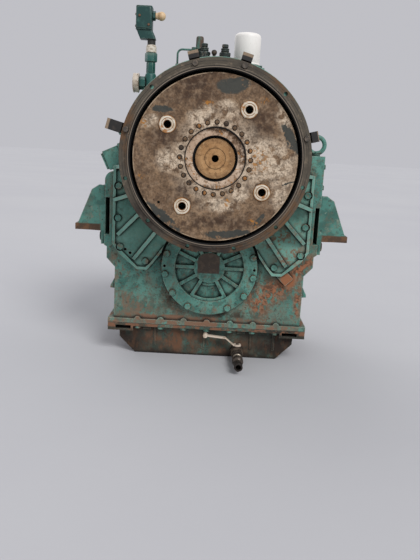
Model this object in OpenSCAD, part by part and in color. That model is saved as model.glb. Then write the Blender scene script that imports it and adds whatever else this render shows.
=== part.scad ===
// Marine reversing and reduction gearbox with an engine bell housing.
// The origin is the centre of the engine flange face, on the input axis.
// +X is to the right seen from the engine, +Y runs aft along the shafts, +Z is up.

/* [Engine flange and bell housing] */
// Bolt circle of the engine flange
flange_pcd = 530.2; // [515:0.1:545]
// Rim of the flange outside its bolt circle
flange_rim = 11.1; // [9:0.1:16]
// Thickness of the flange
flange_t = 22; // [16:1:30]
// Holes in the flange
flange_holes = 12; // [12:4:16]
// Diameter of a flange hole
flange_hole_d = 11.9; // [10:0.1:14]
// Step from the bolt circle in to the pilot
pilot_step = 9.5; // [8:0.1:12]
// Height of the pilot
pilot_h = 7; // [4:0.5:10]
// Wall of the pilot down to the bore
pilot_wall = 8.6; // [6:0.1:12]
// Length of the bell housing
bell_len = 215; // [205:1:235]
// Wall of the bell housing barrel
bell_wall = 13; // [8:1:18]
// Thickness of the plate that bolts to the casing
foot_t = 25; // [18:1:32]
// Thickness of the bell housing ribs
rib_t = 11; // [7:1:16]

/* [Gears] */
// Module of the final drive gears
drive_module = 8; // [7.6:0.1:8.4]
// Teeth on each pinion
pinion_teeth = 21; // [19:1:22]
// Teeth on the bull gear
bull_teeth = 68; // [64:1:70]
// Face width of the final drive gears
drive_face = 66; // [50:1:70]
// Module of the transfer gears
transfer_module = 5; // [4.9:0.1:5.3]
// Teeth on each transfer gear
transfer_teeth = 38; // [38:1:40]
// Face width of the transfer gears
transfer_face = 32; // [24:1:38]
// How much each tooth is thinned for backlash
backlash = 0.35; // [0.2:0.05:0.6]

/* [Shafts and clutches] */
// Radius of the input shaft at the coupling
input_r = 45; // [42:0.5:48]
// Radius of the input shaft under the clutch
clutch_shaft_r = 40; // [34:0.5:41]
// Radius of the reverse shaft
reverse_r = 32; // [28:0.5:36]
// Radius of the output shaft
output_r = 55; // [48:0.5:60]
// Outside radius of a clutch drum
drum_r = 88; // [84:0.5:90]
// Wall of a clutch drum
drum_wall = 8; // [6:0.5:10]
// Length of a clutch drum
drum_len = 84; // [82:1:90]
// Stroke of a clutch piston
piston_stroke = 3; // [2:0.5:3.5]
// Thickness of a clutch plate
plate_t = 4; // [3:0.25:4.5]
// Friction plates in a clutch
plate_count = 5; // [4:1:5]

/* [Casing] */
// Thickness of the casing walls
casing_wall = 12; // [10:1:14]
// Thickness of the front and rear walls
end_wall = 22; // [18:1:26]
// Length of the casing
casing_len = 330; // [325:1:350]
// Room beside the bull gear
bull_room = 23; // [18:1:32]
// Half width of the casing at the mounting brackets
upper_half_w = 352; // [345:1:365]
// Height of the right shoulder above the input axis
right_top = 22; // [10:1:40]
// Height of the left shoulder above the input axis
left_top = -58; // [-75:1:-40]
// Radius of the rounded left shoulder
left_round = 30; // [20:1:40]
// How far the domed top stands out of the bell barrel
dome_step = 30; // [24:1:36]
// Height of the flat top pad above the dome
pad_h = 3; // [1:0.5:8]

/* [Oil sump] */
// Depth of the sump joint below the output axis
joint_drop = 204; // [198:1:212]
// Thickness of the joint flange on the casing
lip_t = 15; // [12:1:20]
// Thickness of the joint flange on the sump
sump_flange_t = 12; // [10:1:16]
// How far the joint flange stands out of the casing
lip = 19; // [15:1:26]
// Wall of the sump
sump_wall = 9; // [6:1:12]
// Room under the bull gear
sump_room = 28; // [20:1:40]
// How far the sump stands in from the casing front
sump_inset = 21; // [17:1:30]
// Spacing of the sump bolts
sump_pitch = 78; // [70:1:86]

/* [Front cover and output flange] */
// Radius of the front cover
cover_r = 158; // [152:1:164]
// Thickness of the front cover flange
cover_t = 22; // [16:1:28]
// Width of the front cover flange
cover_band = 46; // [40:1:50]
// Angle between the front cover bolts
cover_bolt_step = 26.6; // [24:0.1:29]
// Radius of the output flange
out_flange_r = 130; // [120:1:140]
// Thickness of the output flange
out_flange_t = 28; // [20:1:36]
// Bolt circle of the output flange
out_pcd = 215; // [205:1:225]
// Bolts in the output flange
out_bolts = 10; // [6:2:12]
// Diameter of an output flange hole
out_hole_d = 20.5; // [16:0.5:24]

/* [Mounting brackets] */
// How far a bracket foot reaches from the casing side
foot_reach = 100; // [85:1:125]
// Depth of the foot face below the input axis
foot_drop = 255; // [245:1:265]
// Thickness of the foot plate
foot_plate_t = 20; // [14:1:26]
// Length of a bracket along the gearbox
bracket_len = 265; // [220:1:270]
// Thickness of the bracket plates
bracket_t = 14; // [10:1:18]
// Diameter of a foot hole
foot_hole_d = 22; // [18:1:26]
// Spacing of the two holes in a foot
foot_hole_pitch = 150; // [120:1:160]

/* [Coupling] */
// Room between the drive plate and the bell bore
plate_gap = 10; // [6:0.5:14]
// Thickness of the drive plate
drive_plate_t = 14; // [10:1:18]
// Radius of the circle of drive bushes
bush_circle_r = 166; // [158:1:176]
// Radius of a drive bush
bush_r = 25; // [21:0.5:28]
// Radius of the hole in a drive bush
bush_hole_r = 11; // [8:0.5:13]
// Rivets round the hub
rivet_count = 24; // [18:1:24]

/* [Top fittings] */
// Radius of the oil filter
filter_r = 45; // [38:1:50]
// Length of the oil filter
filter_len = 104; // [90:1:130]
// Height of the control valve block
valve_h = 14; // [12:1:30]
// Width of the pressure switch box
switch_w = 52; // [50:1:70]
// Height of the pressure switch box
switch_h = 71; // [66:1:90]
// Radius of the lifting eye ring
eye_r = 26; // [22:0.5:30]
// Radius of the lifting eye bar
eye_bar_r = 7; // [5:0.5:8]

/* [Drain valve] */
// Distance of the drain valve right of the middle
drain_x = 108; // [90:1:125]
// Radius of the drain pipe
drain_r = 13; // [10:0.5:15]
// Reach of the drain coupling in front of the sump
drain_reach = 182; // [160:1:190]
// Length of the drain lever
lever_len = 110; // [95:1:120]

/* [Hidden] */
$fn = 96;
// Running clearance of a shaft in its bore
run = 0.05;
// Clearance between pieces that pass each other
gap = 0.3;
// Clearance of a bolt in its hole
bolt_slack = 0.3;
pressure_angle = 20;

flange_r = flange_pcd / 2 + flange_rim;
pilot_r = flange_pcd / 2 - pilot_step;
bell_bore_r = pilot_r - pilot_wall;
barrel_r = bell_bore_r + bell_wall;
casing_y = bell_len;
rear_y = casing_y + casing_len;
dome_r = barrel_r + dome_step;
pad_z = dome_r + pad_h;

centre_distance = drive_module * (pinion_teeth + bull_teeth) / 2;
output_z = -centre_distance;
transfer_distance = transfer_module * transfer_teeth;
swing = 2 * asin(transfer_distance / 2 / centre_distance);
reverse_x = centre_distance * sin(swing);
reverse_z = output_z + centre_distance * cos(swing);
transfer_tip_r = transfer_distance / 2 + transfer_module;
bull_tip_r = drive_module * (bull_teeth / 2 + 1);

lower_half_w = bull_tip_r + bull_room + casing_wall;
waist_z = output_z - 16;
shoulder_z = output_z + 14;
shoulder_half_w = upper_half_w - 9;
slot_depth = 17;
slot_top = -143;
slot_bottom = -foot_drop - 10;
joint_z = output_z - joint_drop;
sump_top = joint_z - sump_flange_t;
floor_z = output_z - bull_tip_r - sump_room - sump_wall;
sump_front = casing_y + sump_inset;
sump_rear = rear_y - sump_inset;
lip_half_w = lower_half_w + lip;

bearing_len = 26;
bearing_y = casing_y + end_wall;
transfer_y = bearing_y + bearing_len + 6;
drum_y = transfer_y + transfer_face;
drive_y = drum_y + drum_len + 10;
rear_bearing_y = rear_y - end_wall - bearing_len;
input_bearing_r = input_r + 25;
input_rear_bearing_r = clutch_shaft_r + 22;
reverse_bearing_r = reverse_r + 18;
boss_wall = 14;
cover_face = casing_y - cover_t;
cover_bolt_r = cover_r - 10;
spigot_r = cover_r - cover_band - 2;
output_bearing_r = output_r + 30;
output_front_y = casing_y + 12;

plate_y = 6;
plate_r = bell_bore_r - plate_gap;
hub_ring_r = 87.5;
hub_recess_r = 64;
hub_sink = 7;
rivet_circle_r = 102;
hub_floor_y = plate_y + drive_plate_t + 10;
hub_end_y = 140;

// Bolts of the bell housing foot, as distances from the middle and the input axis
foot_bolts = [
    [upper_half_w - 50, -103],
    [upper_half_w - 50, -205],
    [upper_half_w - 58, -298],
    [211, output_z + 14]
];
foot_bolt_r = 7;
// Blind spare holes beside the third bolt on the left
spare_holes = [[74 - upper_half_w, -307], [90 - upper_half_w, -318]];
spare_hole_r = 4.5;
// Radius of the spot face behind a flange hole
spot_r = 12.5;
// Depth of the spot face in the cast flange
spot_depth = 0.5;
// Flat at the foot of the flange, and the room round the front cover
flange_flat_w = 78;
flange_flat_h = 6;
cover_relief = 8;
cover_bolt_d = 14;

paint = "#46756f";
bare_iron = "#4d4843";
rust_plate = "#8b7560";
steel = "#9aa0a4";
gear_steel = "#7f8386";
bronze = "#a67c4b";
off_white = "#e4dfd8";

// An outline in the X and Z plane carried along Y
module along_y(y0, y1)
    translate([0, y1, 0]) rotate([90, 0, 0]) linear_extrude(y1 - y0) children();

// A round bar along Y
module rod_y(r, y0, y1)
    translate([0, y0, 0]) rotate([-90, 0, 0]) cylinder(r = r, h = y1 - y0);

// A ring along Y
module ring_y(r_out, r_in, y0, y1)
    difference() {
        rod_y(r_out, y0, y1);
        rod_y(r_in, y0 - 1, y1 + 1);
    }

// A profile of radius and Y turned about the Y axis
module turned_y() rotate([-90, 0, 0]) rotate_extrude() children();

module at(x, z) translate([x, 0, z]) children();

module on_output() at(0, output_z) children();

module on_reverse() at(reverse_x, reverse_z) children();

module both_sides() {
    children();
    mirror([1, 0, 0]) children();
}

// A hexagon bar along Y
module hex_y(r, y0, y1)
    translate([0, y0, 0]) rotate([-90, 0, 0]) cylinder(r = r, h = y1 - y0, $fn = 6);

// Size of a hexagon head for each millimetre of thread
head_r = 0.9;
head_h = 0.65;

// A hexagon bolt along Y with its head in front of a face
module bolt_y(d, y_face, shank) {
    rod_y(d / 2, y_face, y_face + shank);
    hex_y(head_r * d, y_face - head_h * d, y_face);
}

// A hexagon bolt along Y with its head behind a face
module rear_bolt_y(d, y_face, shank) {
    rod_y(d / 2, y_face - shank, y_face);
    hex_y(head_r * d, y_face, y_face + head_h * d);
}

// Evenly spaced places on a circle about the Y axis
module ring_places(count, r, start)
    for (k = [0:count - 1]) rotate([0, -start - k * 360 / count, 0]) at(r, 0) children();

function roll_angle(a) = tan(a) * 180 / PI - a;

// Half the angle that a tooth fills at a radius
function tooth_half(r, pitch_r, teeth) =
    let (base_r = pitch_r * cos(pressure_angle))
    90 / teeth - backlash / 2 / pitch_r * 180 / PI
        + roll_angle(pressure_angle) - roll_angle(acos(base_r / max(r, base_r)));

// Outline of a spur gear with one tooth at angle turn, its flanks taken at four radii
module gear_outline(m, teeth, turn) {
    pitch_r = m * teeth / 2;
    root_r = pitch_r - 1.25 * m;
    tip_r = pitch_r + m;
    levels = [for (k = [0:3]) root_r + (tip_r - root_r) * k / 3];
    polygon([
        for (t = [0:teeth - 1], k = [0:7])
            let (
                rising = k < 4,
                r = levels[rising ? k : 7 - k],
                half = tooth_half(r, pitch_r, teeth),
                a = turn + t * 360 / teeth + (rising ? -half : half)
            )
            [r * cos(a), r * sin(a)]
    ]);
}

// Engine flange, pilot, barrel and the ribbed plate that bolts to the casing
module foot_outline(inset) {
    side = upper_half_w - 32 - inset;
    circle(r = dome_r + 14 - inset);
    both_sides() polygon([
        [0, -40 - inset],
        [side, -40 - inset],
        [side, -288],
        [side - 24, -322 + inset],
        [237, output_z - 14 + inset],
        [205 + inset / 2, output_z - 14 + inset],
        [185 + inset, output_z + 10],
        [130 + inset, -270],
        [0, -240]
    ]);
}

module foot_plate_outline(inset)
    difference() {
        foot_outline(inset);
        polygon([[-130 - inset, -270], [130 + inset, -270], [190 + inset, -400], [-190 - inset, -400]]);
    }

// A rib from the barrel out over the plate, turned from the radial line by tilt about its middle
rib_mid_r = barrel_r + 50;

module bell_rib(angle, tilt, y_start, reach)
    rotate([0, -angle, 0]) translate([rib_mid_r, 0, 0]) rotate([0, -tilt, 0])
        translate([-rib_mid_r, 0, -rib_t / 2]) linear_extrude(rib_t)
            polygon([
                [barrel_r - 3, y_start],
                [barrel_r + 8, y_start],
                [reach, bell_len - foot_t - 9],
                [reach, bell_len - foot_t + 1],
                [barrel_r - 3, bell_len - foot_t + 1]
            ]);

module bell_housing()
    color(paint) difference() {
        union() {
            rod_y(flange_r, 0, flange_t);
            rod_y(pilot_r, -pilot_h, 1);
            rod_y(barrel_r, flange_t - 1, bell_len);
            along_y(bell_len - foot_t, bell_len) foot_plate_outline(0);
            along_y(bell_len - foot_t - 8, bell_len - foot_t + 1) difference() {
                foot_plate_outline(0);
                foot_plate_outline(9);
            }
            both_sides() {
                bell_rib(-8, 0, 70, upper_half_w - 35);
                bell_rib(-25.5, 4, 80, upper_half_w);
                bell_rib(-39, -7, 80, 400);
                bell_rib(-53.5, 0, 60, 420);
            }
        }
        rod_y(bell_bore_r, -pilot_h - 1, bell_len + 1);
        for (i = [0:flange_holes - 1])
            rotate([0, -(i + 0.5) * 360 / flange_holes, 0])
                at(flange_pcd / 2, 0) {
                    rod_y(flange_hole_d / 2, -pilot_h - 1, flange_t + 1);
                    rod_y(spot_r, flange_t - spot_depth, flange_t + 45);
                }
        translate([-flange_flat_w / 2, -1, -flange_r - 1])
            cube([flange_flat_w, flange_t + 2, flange_flat_h + 1]);
        on_output() rod_y(cover_r + cover_relief, cover_face - 14, bell_len + 1);
        both_sides() for (b = foot_bolts)
            at(b[0], b[1]) rod_y(foot_bolt_r + bolt_slack, bell_len - foot_t - 40, bell_len + 1);
        both_sides() for (b = foot_bolts)
            at(b[0], b[1]) rod_y(foot_bolt_r * 2.1, bell_len - foot_t - 40, bell_len - foot_t);
        for (h = spare_holes) at(h[0], h[1]) rod_y(spare_hole_r, bell_len - foot_t - 20, bell_len - 4);
    }

module bell_housing_bolts()
    color(paint) both_sides() for (b = foot_bolts)
        at(b[0], b[1]) bolt_y(2 * foot_bolt_r, bell_len - foot_t, foot_t + end_wall - 4);

// Outline of the casing, drawn in by inset for the hollow inside
module casing_outline(inset) {
    side = upper_half_w - (inset > 0 ? slot_depth + inset : 0);
    low = lower_half_w - inset;
    circle(r = dome_r - inset);
    translate([reverse_x, reverse_z]) circle(r = transfer_tip_r + 6 + casing_wall - inset);
    polygon([[-low, joint_z], [low, joint_z], [low, left_top - left_round], [-low, left_top - left_round]]);
    polygon([
        [-low, waist_z],
        [low, waist_z],
        [min(shoulder_half_w - inset, side + 9), shoulder_z],
        [min(shoulder_half_w - inset, side + 9), -foot_drop - 50],
        [side, -foot_drop - 45],
        [side, right_top - inset],
        [0, right_top - inset],
        [0, left_top - inset],
        [-side + left_round, left_top - inset],
        [-side, left_top - left_round],
        [-side, -foot_drop - 45],
        [-min(shoulder_half_w - inset, side + 9), -foot_drop - 50],
        [-min(shoulder_half_w - inset, side + 9), shoulder_z]
    ]);
    translate([-side + left_round, left_top - left_round]) circle(r = left_round - inset / 2);
}

module casing_shell()
    union() {
        along_y(casing_y, rear_y) casing_outline(0);
        // Joint flange round the foot of the casing
        translate([-lip_half_w, casing_y - 10, joint_z])
            cube([2 * lip_half_w, casing_len + 20, lip_t]);
        for (x = [-3:3]) {
            at(x * sump_pitch, joint_z + lip_t - 2) rod_y(scallop_r, casing_y - 10, casing_y + 1);
            at(x * sump_pitch, joint_z + lip_t - 2) rod_y(scallop_r, rear_y - 1, rear_y + 10);
        }
        // Wedge lugs on the sides
        both_sides() along_y(casing_y + 20, casing_y + 80) polygon([
            [lower_half_w - 1, output_z - 50],
            [lower_half_w + side_lug, output_z - 84],
            [lower_half_w + side_lug, output_z - 92],
            [lower_half_w - 1, output_z - 94]
        ]);
        // Flat pad on top for the valve block and, wider behind, for the filter head
        translate([-pad_front_half_w, casing_y + 40, pad_root])
            cube([2 * pad_front_half_w, 60, pad_z - pad_root]);
        translate([-pad_half_w, casing_y + 95, pad_root]) cube([2 * pad_half_w, 175, pad_z - pad_root]);
        // Boss for the pressure switch column
        translate([column_x, column_y, column_root]) cylinder(r = 22, h = column_z - column_root);
        // Seat of the left valve box
        left_box_place() translate([-28, 0, -70]) cube([28 + box_seat_end, 110, 70]);
        // Machined lug below the right foot of the bell housing
        difference() {
            translate([246, casing_y - 16, output_z - 16]) rotate([0, 45, 0])
                translate([-29, 0, -18]) cube([58, 17, 36]);
            along_y(casing_y - 20, casing_y) foot_plate_outline(-1);
        }
        // Ribs down the rear wall
        both_sides() for (x = rear_ribs)
            translate([x - rib_t / 2, rear_y - 1, joint_z + lip_t]) cube([rib_t, 13, rear_rib_h]);
    }

scallop_r = 11;
side_lug = 17;
pad_half_w = 145;
pad_front_half_w = 105;
pad_root = 200;
// Top of the hollow under the pad
hollow_top = right_top + 200;
column_x = -224;
column_y = casing_y + 85;
column_z = 206;
column_root = 120;
box_seat_end = 44;
box_w = 64;
box_len = 98;
box_h = 56;
box_lid = 8;
box_edge = 5;
rear_ribs = [lower_half_w - 60, lower_half_w - 130];
rear_rib_h = joint_drop - lip_t - 60;

// Frame of the left valve box: its seat is turned with the box
module left_box_place()
    translate([-304, casing_y + 40, -12]) rotate([0, -115, 0]) children();

module main_casing()
    color(paint) difference() {
        union() {
            difference() {
                casing_shell();
                along_y(casing_y + end_wall, rear_y - end_wall) difference() {
                    casing_outline(casing_wall);
                    translate([-dome_r, hollow_top]) square([2 * dome_r, dome_r]);
                }
                // Open underside over the sump
                translate([-lower_half_w + casing_wall, casing_y + end_wall, joint_z - 2])
                    cube([2 * (lower_half_w - casing_wall), casing_len - 2 * end_wall, 200]);
            }
            // Bearing bosses inside the end walls
            rod_y(input_bearing_r + boss_wall, casing_y + 1, bearing_y + bearing_len);
            on_reverse() rod_y(reverse_bearing_r + boss_wall, casing_y + 1, bearing_y + bearing_len);
            rod_y(input_rear_bearing_r + boss_wall, rear_bearing_y, rear_y - 1);
            on_reverse() rod_y(reverse_bearing_r + boss_wall, rear_bearing_y, rear_y - 1);
        }
        // Bores for the bearings, the front cover and the output carrier
        rod_y(input_bearing_r + run, casing_y - 1, bearing_y + bearing_len + 1);
        on_reverse() rod_y(reverse_bearing_r + run, casing_y - 1, bearing_y + bearing_len + 1);
        rod_y(input_rear_bearing_r + run, rear_bearing_y - 1, rear_y + 1);
        on_reverse() rod_y(reverse_bearing_r + run, rear_bearing_y - 1, rear_y + 1);
        on_output() rod_y(spigot_r + run, casing_y - 1, rear_y + 1);
        // Slots beside the bracket seats
        both_sides() translate([upper_half_w - slot_depth, casing_y - 1, slot_bottom])
            cube([slot_depth + 1, bracket_len - 15, slot_top - slot_bottom]);
        // Tapped holes for the foot, cover, bracket and sump bolts
        both_sides() for (b = foot_bolts)
            at(b[0], b[1]) rod_y(foot_bolt_r + bolt_slack, casing_y - 1, casing_y + end_wall - 3);
        on_output() cover_bolt_places() rod_y(cover_bolt_d / 2 + bolt_slack, casing_y - 1, casing_y + 19);
        both_sides() bracket_bolt_places() rotate([0, -90, 0])
            cylinder(r = bracket_bolt_r + bolt_slack, h = 40, center = true);
        sump_bolt_places() translate([0, 0, -1]) cylinder(r = sump_bolt_r + bolt_slack, h = lip_t - 2);
        seal_bolt_places() rod_y(seal_bolt_d / 2 + bolt_slack, casing_y - 1, casing_y + 14);
        on_output() carrier_bolt_places() rod_y(carrier_bolt_d / 2 + bolt_slack, rear_y - 17, rear_y + 1);
        on_reverse() rear_cover_bolt_places() rod_y(rear_bolt_d / 2 + bolt_slack, rear_y - 17, rear_y + 1);
        pump_bolt_places() rod_y(rear_bolt_d / 2 + bolt_slack, rear_y - 17, rear_y + 1);
    }

sump_bolt_r = 6;
// Head of a sump bolt, and the room round it
sump_head_r = 11;
sump_head_t = 8;
head_room = 1;

// Places of the sump bolts, at the level of the joint
module sump_bolt_places()
    for (y = [casing_y + 4, rear_y - 4], x = [-3:3]) translate([x * sump_pitch, y, joint_z]) children();

module sump_outline(inset) {
    low = lower_half_w - 15 - inset;
    polygon([
        [-low, joint_z - (inset > 0 ? -1 : 1)],
        [-low + 3, floor_z + 55],
        [-low + 57, floor_z + inset],
        [low - 57, floor_z + inset],
        [low - 3, floor_z + 55],
        [low, joint_z - (inset > 0 ? -1 : 1)]
    ]);
}

gasket_t = 2;
sump_seams = [-176, -6, 153, 232];
sump_tabs = [-202, 120];
seam_w = 7;
seam_h = 2.5;
// Slot through the corner lugs, and how far it lies under the flange
slot_w = 52;
slot_drop = 10;

module joint_frame(z0, z1)
    translate([-lip_half_w, casing_y - 8, z0]) cube([2 * lip_half_w, casing_len + 16, z1 - z0]);

module joint_window(z0, z1)
    translate([-lower_half_w + 24, sump_front + sump_wall, z0])
        cube([2 * lower_half_w - 48, casing_len - 2 * sump_inset - 2 * sump_wall, z1 - z0]);

module oil_sump()
    color(paint) difference() {
        union() {
            along_y(sump_front, sump_rear) sump_outline(0);
            joint_frame(sump_top, joint_z - gasket_t);
            // Pressed seams and small tabs on the front
            for (x = sump_seams)
                translate([x - seam_w / 2, sump_front - seam_h, floor_z + 30])
                    cube([seam_w, seam_h + 1, sump_top - floor_z - 29]);
            for (x = sump_tabs)
                translate([x - 13, sump_front - 12, sump_top - 14]) cube([26, 13, 15]);
            // Corner lugs with a slot for a bar
            both_sides() for (y = [casing_y - 8, rear_y - 47])
                translate([lip_half_w - 86, y, sump_top - 16]) cube([86, 55, 17]);
        }
        along_y(sump_front + sump_wall, sump_rear - sump_wall) sump_outline(sump_wall);
        joint_window(sump_top - 1, joint_z + 1);
        translate([-lip_half_w, casing_y - 10, joint_z - gasket_t])
            cube([2 * lip_half_w, casing_len + 20, 20]);
        both_sides() translate([lip_half_w - slot_w - 26, casing_y - 10, sump_top - slot_drop])
            cube([slot_w, casing_len + 20, slot_drop + 2]);
        sump_bolt_places() translate([0, 0, sump_top - joint_z - slot_drop])
            cylinder(r = sump_head_r + head_room, h = slot_drop);
        sump_bolt_places() cylinder(r = sump_bolt_r + bolt_slack, h = 60, center = true);
        translate([drain_x, 0, drain_z]) rod_y(drain_r + run, sump_front - 1, sump_front + sump_wall + 1);
    }

module sump_gasket()
    color("#2b2a28") difference() {
        joint_frame(joint_z - gasket_t, joint_z);
        joint_window(joint_z - 5, joint_z + 5);
        sump_bolt_places() cylinder(r = sump_bolt_r + bolt_slack, h = 60, center = true);
    }

module sump_bolts()
    color(paint) sump_bolt_places() {
        translate([0, 0, sump_top - joint_z]) cylinder(r = sump_bolt_r, h = sump_flange_t + lip_t - 4);
        translate([0, 0, sump_top - joint_z - sump_head_t])
            cylinder(r = sump_head_r, h = sump_head_t, $fn = 6);
    }

// Front cover over the output shaft, with a ribbed web and a spigot for the bearing
module cover_bolt_places()
    for (k = [-6:6]) if (k != 0)
        rotate([0, 90 - k * cover_bolt_step, 0]) at(cover_bolt_r, 0) children();

cover_ribs = [155, 180, 212, 240, 300, 328, 0, 25, 60, 90, 120];
cover_rib_t = 11;
// Radius of the hub in the middle of the cover, and its depth behind the flange
cover_hub_r = 50;
cover_hub_drop = 3;
cover_web_drop = 13;
// The pocket between the two lowest ribs
pocket_angle = 48;
pocket_in_r = 62;
pocket_out_r = cover_r - cover_band + 2;

module cover_pocket()
    intersection() {
        ring_y(pocket_out_r, pocket_in_r, cover_face + cover_web_drop - 1, casing_y + 1);
        along_y(cover_face, casing_y + 2) polygon([
            [0, 0],
            [-cover_r * tan(pocket_angle / 2), -cover_r],
            [cover_r * tan(pocket_angle / 2), -cover_r]
        ]);
    }

module front_output_cover()
    color(paint) on_output() difference() {
        union() {
            turned_y() polygon([
                [0, cover_face + cover_hub_drop],
                [cover_hub_r, cover_face + cover_hub_drop],
                [cover_hub_r + 4, cover_face + cover_web_drop],
                [cover_r - cover_band, cover_face + cover_web_drop],
                [cover_r - cover_band + 2, cover_face],
                [cover_r, cover_face],
                [cover_r, casing_y],
                [spigot_r, casing_y],
                [spigot_r, output_front_y + bearing_len + 4],
                [output_bearing_r + run, output_front_y + bearing_len + 4],
                [output_bearing_r + run, output_front_y - 4],
                [0, output_front_y - 4]
            ]);
            for (a = cover_ribs)
                rotate([0, -a, 0]) translate([cover_hub_r - 4, cover_face + 4, -cover_rib_t / 2])
                    cube([cover_r - cover_band - cover_hub_r + 6, cover_web_drop - 3, cover_rib_t]);
            // Arched lip under the pocket
            intersection() {
                ring_y(pocket_out_r, pocket_out_r - 10, cover_face + 4, cover_face + cover_web_drop + 1);
                along_y(cover_face, casing_y) polygon([
                    [0, 0],
                    [-cover_r * tan(30), -cover_r],
                    [cover_r * tan(30), -cover_r]
                ]);
            }
        }
        cover_pocket();
        cover_bolt_places() rod_y(cover_bolt_d / 2 + bolt_slack, cover_face - 1, casing_y + 1);
        for (side = [-1, 1])
            at(side * cover_bolt_r, 0) rod_y(4.5, cover_face - 1, cover_face + 14);
    }

module front_cover_bolts()
    color(paint) on_output() cover_bolt_places() bolt_y(cover_bolt_d, cover_face, cover_t + 17);

// Side bracket: base plate on the casing, two gussets and a drilled foot
bracket_bolt_r = 10;
bracket_thread = 18;
bracket_y = casing_y + 20;
bracket_top = -107;
bracket_foot_x = upper_half_w + foot_reach;

module bracket_bolt_places()
    for (y = [bracket_y + 55, bracket_y + bracket_len - 55], z = [-foot_drop - 25, bracket_top - 20])
        translate([upper_half_w, y, z]) children();

module gusset()
    polygon([
        [upper_half_w, bracket_top],
        [upper_half_w + 22, bracket_top + 2],
        [upper_half_w + 46, bracket_top - 14],
        [bracket_foot_x - 8, -foot_drop + foot_plate_t - 1],
        [bracket_foot_x - 8, -foot_drop + 1],
        [upper_half_w + 16, -foot_drop - 1],
        [upper_half_w + bracket_t, -foot_drop - 14],
        [upper_half_w, -foot_drop - 14]
    ]);

module bracket()
    difference() {
        union() {
            along_y(bracket_y, bracket_y + bracket_t) gusset();
            along_y(bracket_y + bracket_len - bracket_t, bracket_y + bracket_len) gusset();
            translate([upper_half_w, bracket_y, -foot_drop - 45])
                cube([bracket_t, bracket_len, foot_drop + 45 + bracket_top]);
            translate([upper_half_w, bracket_y, -foot_drop])
                cube([foot_reach, bracket_len, foot_plate_t]);
        }
        bracket_bolt_places() rotate([0, 90, 0])
            cylinder(r = bracket_bolt_r + bolt_slack, h = 40, center = true);
        for (side = [-0.5, 0.5])
            translate([upper_half_w + foot_reach * 0.62,
                       bracket_y + bracket_len / 2 + side * foot_hole_pitch, -foot_drop - 1])
                cylinder(d = foot_hole_d, h = foot_plate_t + 2);
    }

module right_mounting_bracket() color(paint) bracket();

module left_mounting_bracket() color(paint) mirror([1, 0, 0]) bracket();

module bracket_bolts()
    color(paint) both_sides() bracket_bolt_places() {
        translate([bracket_t, 0, 0]) rotate([0, 90, 0])
            cylinder(r = 1.7 * bracket_bolt_r, h = 1.25 * bracket_bolt_r, $fn = 6);
        rotate([0, 90, 0]) translate([0, 0, -bracket_thread])
            cylinder(r = bracket_bolt_r, h = bracket_thread + bracket_t);
    }

// Drive plate of the engine coupling
module bush_places() ring_places(4, bush_circle_r, 57.5) children();

module rivet_places() ring_places(rivet_count, rivet_circle_r, 0) children();

rivet_r = 5;
rivet_head_r = 7;
rivet_head_h = 3;
hub_flange_r = 118;
hub_flange_t = 14;
hub_tube_r = 78;
cap_r = 58;
cap_t = 8;
cap_hole_r = 10;
centre_hole_depth = 70;
cap_ring_r = 29;

module drive_plate()
    color(rust_plate) difference() {
        ring_y(plate_r, hub_ring_r + run, plate_y, plate_y + drive_plate_t);
        bush_places() rod_y(bush_r + run, 0, 40);
        rivet_places() rod_y(rivet_r + run, 0, 40);
        // Small tapped hole near the rim
        at(-158, -132) rod_y(4, 0, 40);
    }

module drive_plate_bushes()
    color(off_white) bush_places() turned_y() polygon([
        [bush_hole_r, plate_y],
        [bush_r * 0.7, plate_y],
        [bush_r * 0.7, plate_y - 4],
        [bush_r, plate_y - 4],
        [bush_r, plate_y + drive_plate_t + 6],
        [bush_hole_r, plate_y + drive_plate_t + 6]
    ]);

module drive_plate_rivets()
    color("#6e5038") rivet_places() {
        rod_y(rivet_r, plate_y, plate_y + drive_plate_t + hub_flange_t);
        rod_y(rivet_head_r, plate_y - rivet_head_h, plate_y);
    }

module coupling_hub()
    color(rust_plate) difference() {
        turned_y() polygon([
            [hub_recess_r, plate_y + hub_sink],
            [hub_ring_r, plate_y + hub_sink],
            [hub_ring_r, plate_y + drive_plate_t],
            [hub_flange_r, plate_y + drive_plate_t],
            [hub_flange_r, plate_y + drive_plate_t + hub_flange_t],
            [hub_tube_r, plate_y + drive_plate_t + hub_flange_t],
            [hub_tube_r, hub_end_y],
            [input_r + run, hub_end_y],
            [input_r + run, hub_floor_y],
            [hub_recess_r, hub_floor_y]
        ]);
        rivet_places() rod_y(rivet_r + run, plate_y, hub_end_y);
    }

module shaft_end_cap()
    color(bronze) difference() {
        rod_y(cap_r, hub_floor_y - cap_t, hub_floor_y);
        rod_y(cap_hole_r, hub_floor_y - cap_t - 1, hub_floor_y + 1);
        ring_y(cap_ring_r + 1, cap_ring_r - 1, hub_floor_y - cap_t - 1, hub_floor_y - cap_t + 1.5);
    }

module input_shaft()
    color(steel) difference() {
        union() {
            rod_y(input_r, hub_floor_y, bearing_y + bearing_len);
            rod_y(clutch_shaft_r, bearing_y + bearing_len - 1, rear_y - end_wall);
            rod_y(pump_shaft_r, rear_y - end_wall - 1, rear_y + 40);
        }
        // Centre hole for an oil way
        rod_y(cap_hole_r, hub_floor_y - 1, hub_floor_y + centre_hole_depth);
    }

pump_shaft_r = 14;
seal_slack = 0.6;
seal_t = 12;
seal_bolt_d = 8;

module seal_bolt_places() ring_places(6, input_bearing_r + 9, 30) children();

module input_seal_carrier()
    color(steel) difference() {
        ring_y(input_bearing_r + 18, input_r + seal_slack, casing_y - seal_t, casing_y);
        seal_bolt_places() rod_y(seal_bolt_d / 2 + bolt_slack, casing_y - seal_t - 1, casing_y + 1);
    }

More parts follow.
